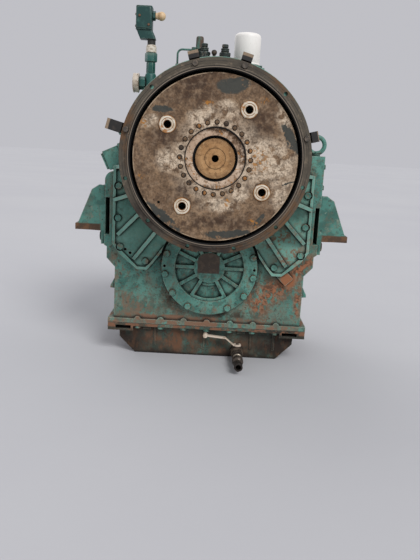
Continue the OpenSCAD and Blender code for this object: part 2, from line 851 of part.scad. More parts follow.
// A rolling bearing, drawn as one ring that the shaft runs in
module bearing(r_out, r_in, y0) color(steel) ring_y(r_out, r_in + run, y0, y0 + bearing_len);

module input_bearings() {
    bearing(input_bearing_r, input_r, bearing_y);
    bearing(input_rear_bearing_r, clutch_shaft_r, rear_bearing_y);
}

module reverse_shaft_bearings()
    on_reverse() {
        bearing(reverse_bearing_r, reverse_r, bearing_y);
        bearing(reverse_bearing_r, reverse_r, rear_bearing_y);
    }

// Gears: the line of centres sets where each one has a tooth or a gap
transfer_line = atan2(reverse_z, reverse_x);
reverse_line = atan2(reverse_z - output_z, reverse_x);
bull_pitch = 360 / bull_teeth;
bull_offset = (round((reverse_line - 90) / bull_pitch) * bull_pitch + 90 - reverse_line);

module transfer_gear(turn, bore_r)
    difference() {
        along_y(transfer_y, transfer_y + transfer_face)
            gear_outline(transfer_module, transfer_teeth, turn);
        rod_y(bore_r + run, transfer_y - 1, transfer_y + transfer_face + 1);
    }

module input_transfer_gear() color(gear_steel) transfer_gear(transfer_line, clutch_shaft_r);

module reverse_transfer_gear()
    color(gear_steel) on_reverse() transfer_gear(transfer_line + 180 + 180 / transfer_teeth, reverse_r);

module clutch_drum(bore_r)
    turned_y() polygon([
        [bore_r + run, drum_y],
        [drum_r, drum_y],
        [drum_r, drum_y + drum_len],
        [drum_r - drum_wall, drum_y + drum_len],
        [drum_r - drum_wall, drum_y + 10],
        [bore_r + run, drum_y + 10]
    ]);

piston_t = 12;
plate_space = plate_t + 0.8;
pack_y = drum_y + 10 + gap + piston_t + piston_stroke + 0.7;
hub_sleeve_r = 52;

module clutch_plate(place, r_out, r_in)
    ring_y(r_out, r_in, pack_y + place * plate_space, pack_y + place * plate_space + plate_t);

module steel_plates()
    for (i = [0:plate_count]) clutch_plate(2 * i, drum_r - drum_wall - run, hub_sleeve_r + 6);

module friction_plates()
    for (i = [0:plate_count - 1]) clutch_plate(2 * i + 1, drum_r - drum_wall - 4, hub_sleeve_r + run);

module clutch_piston(bore_r)
    ring_y(drum_r - drum_wall - run, bore_r + run, drum_y + 10 + gap, drum_y + 10 + gap + piston_t);

module pinion(turn, bore_r)
    difference() {
        union() {
            along_y(drive_y, drive_y + drive_face) gear_outline(drive_module, pinion_teeth, turn);
            rod_y(hub_sleeve_r, pack_y + plate_t / 2, drive_y + 1);
        }
        rod_y(bore_r + run, pack_y - 5, drive_y + drive_face + 1);
    }

module forward_clutch_drum() color(steel) clutch_drum(clutch_shaft_r);

module forward_steel_plates() color(steel) steel_plates();

module forward_friction_plates() color(bronze) friction_plates();

module forward_clutch_piston() color(steel) clutch_piston(clutch_shaft_r);

module forward_pinion() color(gear_steel) pinion(-90 + 180 / pinion_teeth, clutch_shaft_r);

module reverse_clutch_drum() color(steel) on_reverse() clutch_drum(reverse_r);

module reverse_steel_plates() color(steel) on_reverse() steel_plates();

module reverse_friction_plates() color(bronze) on_reverse() friction_plates();

module reverse_clutch_piston() color(steel) on_reverse() clutch_piston(reverse_r);

module reverse_pinion()
    color(gear_steel) on_reverse()
        pinion(reverse_line + 180 + 180 / pinion_teeth - bull_offset * bull_teeth / pinion_teeth, reverse_r);

module reverse_shaft() color(steel) on_reverse() rod_y(reverse_r, bearing_y - 4, rear_y - end_wall + 4);

module reverse_shaft_covers()
    color(paint) on_reverse() {
        rod_y(reverse_bearing_r + 4, casing_y - 10, casing_y);
        difference() {
            rod_y(reverse_bearing_r + 22, rear_y, rear_y + rear_cover_t);
            rear_cover_bolt_places() rod_y(rear_bolt_d / 2 + bolt_slack, rear_y - 1, rear_y + 20);
        }
    }

rear_cover_t = 12;
rear_bolt_d = 10;

module rear_cover_bolt_places() ring_places(6, reverse_bearing_r + 12, 15) children();

module bull_gear()
    color(gear_steel) on_output() difference() {
        along_y(drive_y, drive_y + drive_face) gear_outline(drive_module, bull_teeth, 90);
        rod_y(output_r + run, drive_y - 1, drive_y + drive_face + 1);
        ring_y(bull_tip_r - 45, output_r + 32, drive_y - 1, drive_y + drive_face * 0.3);
        ring_y(bull_tip_r - 45, output_r + 32, drive_y + drive_face * 0.7, drive_y + drive_face + 1);
    }

// Output side at the rear
carrier_y = rear_y - 45;
seal_y = rear_y + 43;
out_face = rear_y + 123;

module output_shaft()
    color(steel) on_output() union() {
        rod_y(output_r, output_front_y, seal_y - 20);
        rod_y(out_seat_r, seal_y - 21, out_face - nut_sink - gap);
        rod_y(out_thread_r, out_face - nut_sink - 1, out_face + 14);
    }

out_seat_r = output_r - 5;
out_thread_r = output_r - 25;
// Radius and depth of the recess for the nut in the output flange
nut_recess_r = output_r + 1;
nut_sink = 8;
out_pilot_r = output_r + 5;
out_hub_r = out_seat_r + 23.5;
carrier_bolt_r = spigot_r + 25;
carrier_t = 22;
carrier_bolt_d = 14;

module carrier_bolt_places() ring_places(12, carrier_bolt_r, 15) children();

module output_bearings()
    on_output() {
        bearing(output_bearing_r, output_r, output_front_y);
        bearing(output_bearing_r, output_r, carrier_y + 5);
    }

module output_seal_carrier()
    color(paint) on_output() difference() {
        turned_y() polygon([
            [output_bearing_r + run, carrier_y],
            [spigot_r, carrier_y],
            [spigot_r, rear_y],
            [spigot_r + 40, rear_y],
            [spigot_r + 40, rear_y + carrier_t],
            [output_bearing_r + 2, rear_y + carrier_t],
            [output_bearing_r - 4, seal_y],
            [output_r + seal_slack, seal_y],
            [output_r + seal_slack, rear_y - 5],
            [output_bearing_r + run, rear_y - 5]
        ]);
        carrier_bolt_places() rod_y(carrier_bolt_d / 2 + bolt_slack, rear_y - 1, rear_y + carrier_t + 1);
    }

module output_flange()
    color(bare_iron) on_output() difference() {
        union() {
            rod_y(out_hub_r, seal_y + 4, out_face);
            rod_y(out_flange_r, out_face - out_flange_t, out_face);
            rod_y(out_pilot_r, out_face - 1, out_face + 4);
        }
        rod_y(out_seat_r + run, seal_y, out_face + 5);
        rod_y(nut_recess_r, out_face - nut_sink, out_face + 5);
        ring_places(out_bolts, out_pcd / 2, 0)
            rod_y(out_hole_d / 2, out_face - out_flange_t - 1, out_face + 5);
    }

module output_shaft_nut()
    color(steel) on_output() difference() {
        union() {
            rod_y(nut_recess_r - gap, out_face - nut_sink, out_face - nut_sink + 5);
            hex_y(output_r - 8, out_face - nut_sink + 4, out_face + 10);
        }
        rod_y(out_thread_r + run, out_face - nut_sink - 1, out_face + 20);
    }

// Hexagon screws of the seal carriers, the reverse shaft cover and the pump
module cover_screws()
    color(paint) {
        seal_bolt_places() bolt_y(seal_bolt_d, casing_y - seal_t, seal_t + 12);
        on_output() carrier_bolt_places() rear_bolt_y(carrier_bolt_d, rear_y + carrier_t, carrier_t + 15);
        on_reverse() rear_cover_bolt_places()
            rear_bolt_y(rear_bolt_d, rear_y + rear_cover_t, rear_cover_t + 15);
        pump_bolt_places() rear_bolt_y(rear_bolt_d, rear_y + pump_flange_t, pump_flange_t + 15);
    }

// Gear pump on the rear, driven by the tail of the input shaft
pump_flange_t = 14;
pump_r = 44;
pump_end_y = rear_y + 78;
pump_gear_drop = 40;

pump_bolt_angles = [-15, 195, 235, 305];

module pump_bolt_places()
    for (a = pump_bolt_angles) rotate([0, -a, 0]) at(input_rear_bearing_r + 12, 0) children();

module oil_pump()
    color(paint) difference() {
        union() {
            rod_y(input_rear_bearing_r + 24, rear_y, rear_y + pump_flange_t);
            rod_y(pump_r, rear_y + pump_flange_t - 1, pump_end_y);
            at(0, pump_gear_drop) rod_y(pump_r, rear_y + pump_flange_t - 1, pump_end_y);
            translate([-pump_r, rear_y + pump_flange_t - 1, 0])
                cube([2 * pump_r, pump_end_y - rear_y - pump_flange_t + 1, pump_gear_drop]);
            for (side = [-1, 1])
                translate([side * (pump_r - 4), rear_y + 45, pump_gear_drop / 2]) rotate([0, side * 90, 0])
                    cylinder(r = 17, h = 26);
        }
        rod_y(pump_shaft_r + run, rear_y - 1, rear_y + 42);
        pump_bolt_places() rod_y(rear_bolt_d / 2 + bolt_slack, rear_y - 1, rear_y + 40);
    }

// Hydraulic control block on the top pad and what is screwed into it
valve_x = -100;
valve_w = 140;
valve_y = casing_y + 62;
valve_len = 110;
valve_top = pad_z + valve_h;
fitting_y = casing_y + 105;

module control_valve_block()
    color(paint) translate([valve_x, valve_y, pad_z]) union() {
        cube([valve_w, valve_len, valve_h - 10]);
        translate([4, 8, valve_h - 11]) cube([valve_w - 8, valve_len - 16, 11]);
    }

// A capped hose union: a wide hexagon, a grooved collar and a cap
module hose_union() {
    cylinder(r = 20, h = 28, $fn = 6);
    translate([0, 0, 27]) cylinder(r = 10.5, h = 4);
    translate([0, 0, 30]) cylinder(r = 13.5, h = 11);
    translate([0, 0, 40]) cylinder(r = 8.5, h = 5);
    translate([0, 0, 44]) cylinder(r = 10.5, h = 9.5);
}

union_places = [-53, 14];
plug_x = -21;

// Two hose unions and a round-headed plug between them
module valve_fittings()
    color(bare_iron) {
        for (x = union_places) translate([x, fitting_y, valve_top]) hose_union();
        translate([plug_x, fitting_y, valve_top]) rotate_extrude()
            polygon([[0, 0], [8, 0], [8, 15], [5, 17], [5, 20], [9, 24], [9, 32], [6, 36], [0, 36]]);
    }

module breather_cap()
    color(paint) translate([-70, fitting_y + 30, valve_top]) rotate_extrude()
        polygon([
            [0, 0],
            [13.5, 0],
            [13.5, 31],
            [10, 33],
            [10, 37],
            [13, 39],
            [13, 47],
            [12, 76],
            [10, 79],
            [0, 79]
        ]);

pipe_r = 3.2;
pipe_bend = 16;
pipe_x = -140;
pipe_rise = valve_top + 32;
pipe_in_x = -86;

module pilot_pipe()
    color(paint) translate([0, fitting_y, 0]) {
        translate([pipe_x, 0, pad_z]) cylinder(r = pipe_r, h = pipe_rise - pipe_bend - pad_z);
        translate([pipe_x + pipe_bend, 0, pipe_rise - pipe_bend]) rotate([90, 0, 0])
            intersection() {
                rotate_extrude() translate([pipe_bend, 0]) circle(r = pipe_r);
                translate([-40, 0, -20]) cube([40, 40, 40]);
            }
        translate([pipe_x + pipe_bend, 0, pipe_rise]) rotate([0, 90, 0])
            cylinder(r = pipe_r, h = pipe_in_x - pipe_x - pipe_bend);
        translate([pipe_in_x, 0, valve_top]) cylinder(r = 9, h = pipe_rise - valve_top + 8, $fn = 6);
    }

filter_x = 89.5;
filter_y = casing_y + 185;
// Height and rim of the head under the filter, and the length of the oil way in front of it
head_seat_h = 16;
head_rim = 4;
head_way_len = 70;
head_way_h = 10;
filter_z = pad_z + head_seat_h;

module filter_head()
    color(paint) translate([filter_x, filter_y, pad_z]) union() {
        cylinder(r = filter_r + head_rim, h = head_seat_h);
        translate([-filter_r - head_rim, -head_way_len, 0])
            cube([2 * (filter_r + head_rim), head_way_len, head_way_h]);
    }

module oil_filter()
    color(off_white) translate([filter_x, filter_y, filter_z]) rotate_extrude()
        polygon([
            [0, 0],
            [filter_r - 3, 0],
            [filter_r - 3, 4],
            [filter_r, 6],
            [filter_r, filter_len - 16],
            [filter_r - 2, filter_len - 8],
            [filter_r - 8, filter_len - 2],
            [filter_r - 16, filter_len],
            [0, filter_len]
        ]);

// Pressure switch on a column of pipe fittings, with its cable gland and a sender
switch_z = 387;
switch_x = column_x - 24;
// Depth of the box, and of the hopper-shaped foot below it
switch_d = 46;
switch_foot_d = 38;
switch_foot_h = 27;
column_r = 18;
port_z = 19.5;
port_len = 20;

module switch_column()
    color(paint) translate([column_x, column_y, column_z]) {
        cylinder(r = column_r, h = 51);
        translate([0, 0, 50]) cylinder(r = 14, h = 37);
        translate([0, 0, 86]) cylinder(r = 20, h = 27, $fn = 6);
        translate([0, 0, 112]) cylinder(r = 12, h = 3);
        translate([0, 0, 114]) cylinder(r = 17, h = 23);
        translate([0, 0, 136]) cylinder(r = 13, h = switch_z - switch_foot_h - 136 - column_z);
        translate([2 - column_r, 0, port_z]) rotate([0, -90, 0]) rotate(30)
            cylinder(r = 21, h = port_len, $fn = 6);
    }

module pressure_switch()
    color(paint) translate([switch_x, column_y, switch_z]) union() {
        translate([-switch_w / 2, -switch_d / 2, 0]) cube([switch_w, switch_d, switch_h]);
        translate([switch_w / 2, 0, 0]) rotate([90, 0, 0]) linear_extrude(switch_foot_d, center = true)
            polygon([
                [4 - switch_w, 1],
                [0, 1],
                [12, -switch_foot_h],
                [-38, -switch_foot_h],
                [-44, 5 - switch_foot_h]
            ]);
    }

module cable_gland()
    color("#d9b68a") translate([switch_x + switch_w / 2, column_y, switch_z + switch_h - 26])
        rotate([0, 90, 0]) union() {
            cylinder(r = 15, h = 10, $fn = 6);
            translate([0, 0, 9]) cylinder(r = 12, h = 6);
            translate([0, 0, 14]) cylinder(r = 15, h = 12, $fn = 6);
            rotate_extrude() polygon([[0, 20], [13, 20], [13, 32], [11, 37], [7, 41], [0, 41]]);
        }

module pressure_sender()
    color("#c9c2b6") translate([column_x + 2 - column_r - port_len, column_y, column_z + port_z])
        rotate([0, -90, 0]) rotate_extrude()
            polygon([[0, 0], [28, 0], [31, 2], [31, 16], [29, 19], [25, 20], [0, 20]]);

// Room between the eye and the dome
eye_room = 5;

module lifting_eye()
    color(paint) translate([dome_r + eye_r + eye_bar_r + eye_room, casing_y + 47, right_top]) union() {
        cylinder(r = 14, h = 6);
        cylinder(r = 9, h = 14);
        translate([0, 0, eye_r + eye_bar_r + 2]) rotate([90, 0, 0])
            rotate_extrude() translate([eye_r, 0]) circle(r = eye_bar_r);
    }

// Angle clips behind the flange, held by bolts in four of its holes
clip_holes = [0, 2, 3, 5];
clip_t = 8;
clip_w = 30;
clip_washer_t = 2.5;
clip_head_r = 8.5;

module clip_places()
    for (i = clip_holes) rotate([0, -(i + 0.5) * 360 / flange_holes, 0]) {
        $long = i == clip_holes[3];
        at(flange_pcd / 2, 0) children();
    }

module flange_clips()
    color("#2a2724") clip_places() difference() {
        clip_reach = $long ? 48 : 24;
        union() {
            rod_y(spot_r - 0.5, flange_t - spot_depth, flange_t + clip_t);
            translate([0, flange_t, -clip_w / 2]) cube([flange_rim + clip_reach, clip_t, clip_w]);
            translate([flange_rim + 4, 2, -clip_w / 2]) cube([clip_reach - 4, flange_t, clip_w]);
        }
        rod_y(flange_hole_d / 2, 0, flange_t + 20);
    }

module clip_bolts()
    color(bare_iron) clip_places() {
        rod_y(flange_hole_d / 2 - bolt_slack, 0, flange_t + 12);
        rod_y(clip_head_r, -clip_washer_t, 0);
        hex_y(clip_head_r, -clip_washer_t - 7, -clip_washer_t);
    }

module left_valve_box()
    color(paint) left_box_place() union() {
        translate([-24, 6, 0]) cube([box_w, box_len, box_h]);
        translate([box_edge - 24, box_edge + 6, box_h])
            cube([box_w - 2 * box_edge, box_len - 2 * box_edge, box_lid]);
        // Pipe fitting in the end of the seat
        translate([box_seat_end, 40, -26]) rotate([0, 90, 0]) {
            cylinder(r = 14, h = 12, $fn = 6);
            cylinder(r = 9, h = 38);
            translate([0, 0, 26]) cylinder(r = 12, h = 10, $fn = 6);
        }
    }

// Flat cover on the right side with a screw in each corner
side_cover_t = 7;
side_cover_len = 150;
side_cover_h = 92;
side_cover_screw = 12;

module right_side_cover()
    color(paint) translate([upper_half_w, casing_y + 45, -side_cover_h]) union() {
        cube([side_cover_t, side_cover_len, side_cover_h]);
        for (y = [side_cover_screw, side_cover_len - side_cover_screw],
             z = [side_cover_screw, side_cover_h - side_cover_screw])
            translate([side_cover_t - 1, y, z]) rotate([0, 90, 0]) cylinder(r = 8, h = 7, $fn = 6);
    }

// Ball valve, hose coupling and lever on the front of the sump
drain_z = floor_z + 28;
valve_mid_y = sump_front - 33;
lever_z = drain_z + 24;
valve_half = 26;
valve_hex_r = 21;
stem_r = 5;
lever_t = 5;
lever_end_z = 31.5;
coupling_end = sump_front - drain_reach;
coupling_bore_r = 9;

module on_drain() translate([drain_x, 0, drain_z]) children();

module drain_valve()
    color(bare_iron) on_drain() union() {
        rod_y(drain_r, valve_mid_y + 20, sump_front + sump_wall);
        hex_y(valve_hex_r, valve_mid_y - valve_half, valve_mid_y - valve_half + 12);
        hex_y(valve_hex_r, valve_mid_y + valve_half - 12, valve_mid_y + valve_half);
        translate([0, valve_mid_y, 0]) sphere(r = valve_hex_r - 1);
        translate([0, valve_mid_y, 0]) cylinder(r = 8, h = lever_z - drain_z - gap);
        translate([0, valve_mid_y, 0]) cylinder(r = stem_r, h = lever_z - drain_z + 8);
    }

module drain_hose_coupling()
    color(bare_iron) on_drain() turned_y() polygon([
        [coupling_bore_r, coupling_end],
        [14, coupling_end],
        [14, coupling_end + 24],
        [11, coupling_end + 28],
        [11, coupling_end + 46],
        [18, coupling_end + 50],
        [18, coupling_end + 72],
        [14, coupling_end + 76],
        [14, valve_mid_y - valve_half - 18],
        [19, valve_mid_y - valve_half - 18],
        [19, valve_mid_y - valve_half],
        [coupling_bore_r, valve_mid_y - valve_half]
    ]);

module drain_lever()
    color("#d8c3ae") translate([drain_x, valve_mid_y, lever_z]) difference() {
        union() {
            cylinder(r = 13, h = lever_t);
            rotate([90, 0, 0]) linear_extrude(14, center = true) polygon([
                [0, 0],
                [0, lever_t],
                [-14, lever_t],
                [-42, lever_end_z - 3.5],
                [-lever_len, lever_end_z + lever_t / 2],
                [-lever_len, lever_end_z - lever_t / 2],
                [-40, lever_end_z - 8.5],
                [-12, 0]
            ]);
            translate([-lever_len, 0, lever_end_z]) rotate([90, 0, 0])
                cylinder(r = 8, h = 16, center = true);
        }
        translate([0, 0, -1]) cylinder(r = stem_r + run, h = 20);
    }

bell_housing();
bell_housing_bolts();
main_casing();
oil_sump();
sump_gasket();
sump_bolts();
front_output_cover();
front_cover_bolts();
left_mounting_bracket();
right_mounting_bracket();
bracket_bolts();
drive_plate();
drive_plate_bushes();
drive_plate_rivets();
coupling_hub();
shaft_end_cap();
input_shaft();
input_seal_carrier();
input_bearings();
input_transfer_gear();
forward_clutch_drum();
forward_steel_plates();
forward_friction_plates();
forward_clutch_piston();
forward_pinion();
reverse_shaft();
reverse_shaft_bearings();
reverse_shaft_covers();
reverse_transfer_gear();
reverse_clutch_drum();
reverse_steel_plates();
reverse_friction_plates();
reverse_clutch_piston();
reverse_pinion();
output_shaft();
output_bearings();
bull_gear();
output_seal_carrier();
output_flange();
output_shaft_nut();
oil_pump();
control_valve_block();
valve_fittings();
breather_cap();
pilot_pipe();
filter_head();
oil_filter();
switch_column();
pressure_switch();
cable_gland();
pressure_sender();
lifting_eye();
flange_clips();
clip_bolts();
left_valve_box();
right_side_cover();
drain_valve();
drain_hose_coupling();
drain_lever();
cover_screws();
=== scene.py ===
import bpy
import numpy as np
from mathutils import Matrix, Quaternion, Vector


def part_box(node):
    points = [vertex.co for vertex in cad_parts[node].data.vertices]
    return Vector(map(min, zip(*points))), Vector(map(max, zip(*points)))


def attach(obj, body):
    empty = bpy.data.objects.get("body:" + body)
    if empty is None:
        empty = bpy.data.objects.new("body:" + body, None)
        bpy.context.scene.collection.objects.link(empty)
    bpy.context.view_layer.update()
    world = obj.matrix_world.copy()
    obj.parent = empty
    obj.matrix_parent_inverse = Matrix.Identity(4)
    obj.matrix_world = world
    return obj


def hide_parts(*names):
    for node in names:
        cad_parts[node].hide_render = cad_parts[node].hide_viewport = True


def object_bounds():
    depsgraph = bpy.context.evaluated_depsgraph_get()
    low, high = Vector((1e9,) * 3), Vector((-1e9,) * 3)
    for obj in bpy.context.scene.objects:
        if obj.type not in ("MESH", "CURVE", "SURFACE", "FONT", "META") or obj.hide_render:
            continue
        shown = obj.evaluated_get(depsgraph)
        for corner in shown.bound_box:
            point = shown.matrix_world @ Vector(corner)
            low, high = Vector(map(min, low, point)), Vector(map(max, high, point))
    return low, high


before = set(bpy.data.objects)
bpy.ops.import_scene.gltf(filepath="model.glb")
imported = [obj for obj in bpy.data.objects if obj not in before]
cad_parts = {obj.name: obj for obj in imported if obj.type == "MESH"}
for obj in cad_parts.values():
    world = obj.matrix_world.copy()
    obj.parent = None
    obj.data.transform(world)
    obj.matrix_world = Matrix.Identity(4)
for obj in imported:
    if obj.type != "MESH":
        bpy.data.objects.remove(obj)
cad_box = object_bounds()

# Camera and studio
# The gearbox is seen from the engine side, a little from above, with a slightly tilted camera.
# It stands on a wide pale floor under an even grey sky, with a soft lamp high on the right in front and a
# weaker one behind.
MM = 0.001
X, Y, Z = range(3)
eye = Vector((0, -1.7586, 0.0237))
yaw, pitch, roll = np.radians((0.12, 12.13, 3.03))
ahead = Vector((np.sin(yaw) * np.cos(pitch), np.cos(yaw) * np.cos(pitch), -np.sin(pitch)))

camera_data = bpy.data.cameras.new("camera")
camera_data.lens = 38.82
camera_data.sensor_width = 36
camera = bpy.data.objects.new("camera", camera_data)
camera.location = eye
camera.rotation_mode = "QUATERNION"
camera.rotation_quaternion = ahead.to_track_quat("-Z", "Y") @ Quaternion((0, 0, 1), roll)
bpy.context.scene.collection.objects.link(camera)
bpy.context.scene.camera = camera
bpy.context.scene.view_settings.view_transform = "Standard"


def linear(colour):
    """A hex sRGB colour as linear red, green, blue and alpha."""
    part = np.array([int(colour[i:i + 2], 16) for i in (1, 3, 5)]) / 255
    return (*np.where(part > 0.04045, ((part + 0.055) / 1.055) ** 2.4, part / 12.92), 1.0)


def add(tree, kind, inputs=(), out=0, **settings):
    """Adds a shader node with its settings, links or sets its inputs, and returns one of its outputs."""
    made = tree.nodes.new("ShaderNode" + kind)
    for name, value in settings.items():
        setattr(made, name, value)
    for name, value in dict(inputs).items():
        if isinstance(value, bpy.types.NodeSocket):
            tree.links.new(value, made.inputs[name])
        else:
            made.inputs[name].default_value = value
    return made.outputs[out]


def finish(name, colour, rough, metallic=0.0):
    """A new material with one plain coat, which the layers below are laid over."""
    material = bpy.data.materials.new(name)
    material.use_nodes = True
    shader = material.node_tree.nodes["Principled BSDF"]
    shader.inputs["Base Color"].default_value = linear(colour)
    shader.inputs["Roughness"].default_value = rough
    shader.inputs["Metallic"].default_value = metallic
    return material


def lay_over(material, mask, colour, rough=None):
    """Another coat over a material: its colour and roughness show where the mask is 1."""
    tree = material.node_tree
    shader = tree.nodes["Principled BSDF"]
    coats = [("Base Color", linear(colour), 6, 7, 2, "RGBA"), ("Roughness", rough, 2, 3, 0, "FLOAT")]
    for name, value, low, high, out, kind in coats:
        if value is None:
            continue
        socket = shader.inputs[name]
        below = socket.links[0].from_socket if socket.links else socket.default_value
        tree.links.new(add(tree, "Mix", {0: mask, low: below, high: value}, out, data_type=kind), socket)


def mottle(material, size, low, high, stretch=(1, 1, 1), detail=6.0, level=1.0):
    """Mask of cloudy blotches about size mm across: noise under low gives 0, and over high gives level."""
    tree = material.node_tree
    point = add(tree, "TexCoord", out="Object")
    drawn = add(tree, "VectorMath", {0: point, 1: stretch}, operation="MULTIPLY")
    cloud = add(tree, "TexNoise", {
        "Vector": drawn,
        "Scale": 0.5 / size / MM,
        "Detail": detail,
        "Roughness": 0.62,
    })
    return add(tree, "MapRange", {"Value": cloud, "From Min": low, "From Max": high, "To Max": level},
               interpolation_type="SMOOTHSTEP")


def clouds(material, colour, rough, *blotches, **more):
    """Another coat over a material in cloudy blotches, whose mask mottle makes from the other values."""
    lay_over(material, mottle(material, *blotches, **more), colour, rough)


def build(name, rings, material, loop=False):
    """One mesh from stacks of rings in mm, an array of (stacks, levels, around, 3): each point makes a
    quad with its neighbours on its ring and on the next one. Flat faces close the two ends, or the last
    ring joins the first."""
    rings = np.asarray(rings, float)
    rings = rings.reshape((-1,) + rings.shape[-3:])
    index = np.arange(rings[..., 0].size).reshape(rings.shape[:3])
    low, high = (index, np.roll(index, -1, 1)) if loop else (index[:, :-1], index[:, 1:])
    quads = np.stack([low, np.roll(low, -1, 2), np.roll(high, -1, 2), high], -1).reshape(-1, 4).tolist()
    ends = [] if loop else np.concatenate([index[:, 0, ::-1], index[:, -1]]).tolist()
    mesh = bpy.data.meshes.new(name)
    mesh.from_pydata((rings * MM).reshape(-1, 3), [], quads + ends)
    mesh.polygons.foreach_set("use_smooth", np.ones(len(mesh.polygons), bool))
    mesh.set_sharp_from_angle(angle=np.radians(35))
    mesh.materials.append(material)
    piece = bpy.data.objects.new(name, mesh)
    bpy.context.scene.collection.objects.link(piece)
    return piece


def turned(rows, around=48):
    """Rings about +Z, one for each row of radius, height and sides. 0 sides is a circle, and 6 a hexagon
    with its corners at the radius, whose side lies r cos(30) / cos(angle mod 60 - 30) from the middle,
    with angles in degrees."""
    radius, height, sides = np.array(rows, float).T[:, :, None]
    angle = np.linspace(0, 2 * np.pi, around, endpoint=False)
    hexagon = np.cos(np.pi / 6) / np.cos(angle % (np.pi / 3) - np.pi / 6)
    radius = radius * np.where(sides == 6, hexagon, 1)
    return np.stack([radius * np.cos(angle), radius * np.sin(angle), height + 0 * angle], -1)


floor_z = cad_box[0].z / MM
floor_paint = finish("matt studio paint", "#c4c4c6", 0.9)
floor_paint.node_tree.nodes["Principled BSDF"].inputs["Specular IOR Level"].default_value = 0
clouds(floor_paint, "#c0c0c3", None, 900, 0.3, 0.7)
floor_rows = [(60000, floor_z - 30, 0), (60000, floor_z, 0), (900, floor_z, 0), (1, floor_z, 0)]
build("studio_floor", turned(floor_rows, 96), floor_paint)

world = bpy.data.worlds.new("studio")
world.use_nodes = True
world.node_tree.nodes["Background"].inputs["Color"].default_value = linear("#f6f6fd")
world.node_tree.nodes["Background"].inputs["Strength"].default_value = 0.57
bpy.context.scene.world = world

# Each lamp's name, the way that its light goes, its strength and how wide it looks in degrees
lamps = [
    ("high_softbox", (-0.45, 0.85, -0.8), 1.8, 24),
    ("rear_softbox", (0.5, -0.8, -0.6), 0.7, 60),
]
for name, way, strength, width in lamps:
    lamp = bpy.data.lights.new(name, "SUN")
    lamp.energy = strength
    lamp.angle = np.radians(width)
    holder = bpy.data.objects.new(name, lamp)
    holder.rotation_mode = "QUATERNION"
    holder.rotation_quaternion = Vector(way).to_track_quat("-Z", "Y")
    bpy.context.scene.collection.objects.link(holder)


# Shafts, gears and clutches
# Forged and ground steel running in oil inside the closed casing, with bronze-faced friction plates.
# Turning and grinding leave fine rings round each shaft, and the oil leaves a thin brown film.
def coat(material, *nodes):
    """Puts a material on CAD nodes in place of the plain one that they come with."""
    for node in nodes:
        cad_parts[node].data.materials[0] = material


def grain(material, size, depth, stretch=(1, 1, 1), rounded=0.0):
    """Small hills about size mm across and depth mm high, on edges that are rounded to a radius in mm."""
    tree = material.node_tree
    height = mottle(material, size, 0.25, 0.75, stretch, 4.0)
    inputs = {"Height": height, "Distance": depth * MM, "Strength": 0.8}
    if rounded:
        inputs["Normal"] = add(tree, "Bevel", {"Radius": rounded * MM}, samples=6)
    tree.links.new(add(tree, "Bump", inputs), tree.nodes["Principled BSDF"].inputs["Normal"])


machined_steel = finish("turned steel", "#9da2a6", 0.32, 1.0)
clouds(machined_steel, "#7f8589", 0.4, 2, 0.4, 0.6, (0, 1, 0))
clouds(machined_steel, "#6d6355", 0.45, 45, 0.52, 0.66)
clouds(machined_steel, "#6a5a49", 0.5, 14, 0.46, 0.6, detail=9.0, level=0.7)
grain(machined_steel, 2.5, 0.04, (0, 1, 0), 1.0)
coat(machined_steel, "input_shaft", "input_bearings", "reverse_shaft", "reverse_shaft_bearings",
     "output_shaft", "output_bearings", "forward_clutch_drum", "forward_steel_plates",
     "forward_clutch_piston", "reverse_clutch_drum", "reverse_steel_plates", "reverse_clutch_piston")

gear_steel = finish("oiled gear steel", "#85888b", 0.3, 1.0)
clouds(gear_steel, "#5f5a50", 0.38, 30, 0.45, 0.65)
grain(gear_steel, 3, 0.05, (1, 0.1, 1), 0.8)
coat(gear_steel, "input_transfer_gear", "forward_pinion", "reverse_transfer_gear", "reverse_pinion",
     "bull_gear")

friction_bronze = finish("sintered bronze", "#a37a49", 0.55, 0.8)
clouds(friction_bronze, "#6e5232", 0.7, 4, 0.5, 0.7)
grain(friction_bronze, 2, 0.06)
coat(friction_bronze, "forward_friction_plates", "reverse_friction_plates")


# Main casing
# A green sand casting in grey iron with a domed top and square shoulders, sprayed with teal machinery enamel.
# The paint is faded and dusty, and it has come off down to brown primer and rust low on the front.
def both(material, *masks):
    """Mask of where every one of these masks is 1: their product."""
    tree = material.node_tree
    whole = masks[0]
    for mask in masks[1:]:
        whole = add(tree, "Math", {0: whole, 1: mask}, operation="MULTIPLY")
    return whole


def patches(material, places, ragged, soft=0.25):
    """Mask of ragged blotches on a front face. Each place is x, z, two half sizes in mm and a turn in
    degrees: the distance from its middle in half sizes, after noise has pushed the point about, is 1 on
    the outline."""
    tree = material.node_tree
    point = add(tree, "TexCoord", out="Object")
    push = add(tree, "TexNoise", {
        "Vector": point,
        "Scale": 0.2 / ragged / MM,
        "Detail": 8.0,
        "Roughness": 0.7,
    }, "Color")
    push = add(tree, "VectorMath", {0: push, 1: (0.5, 0.5, 0.5)}, operation="SUBTRACT")
    push = add(tree, "VectorMath", {0: push, "Scale": 4 * ragged * MM}, operation="SCALE")
    point = add(tree, "VectorMath", {0: point, 1: push}, operation="ADD")
    whole = 0.0
    for x, z, half_x, half_z, turn in places:
        local = add(tree, "Mapping", {
            "Vector": point,
            "Location": (x * MM, 0, z * MM),
            "Rotation": (0, -np.radians(turn), 0),
            "Scale": (half_x * MM, 1000, half_z * MM),
        }, vector_type="TEXTURE")
        away = add(tree, "VectorMath", {0: local}, "Value", operation="LENGTH")
        blotch = add(tree, "MapRange", {"Value": away, "From Min": 1 + soft, "From Max": 1 - soft},
                     interpolation_type="SMOOTHSTEP")
        whole = add(tree, "Math", {0: whole, 1: blotch}, operation="MAXIMUM")
    return whole


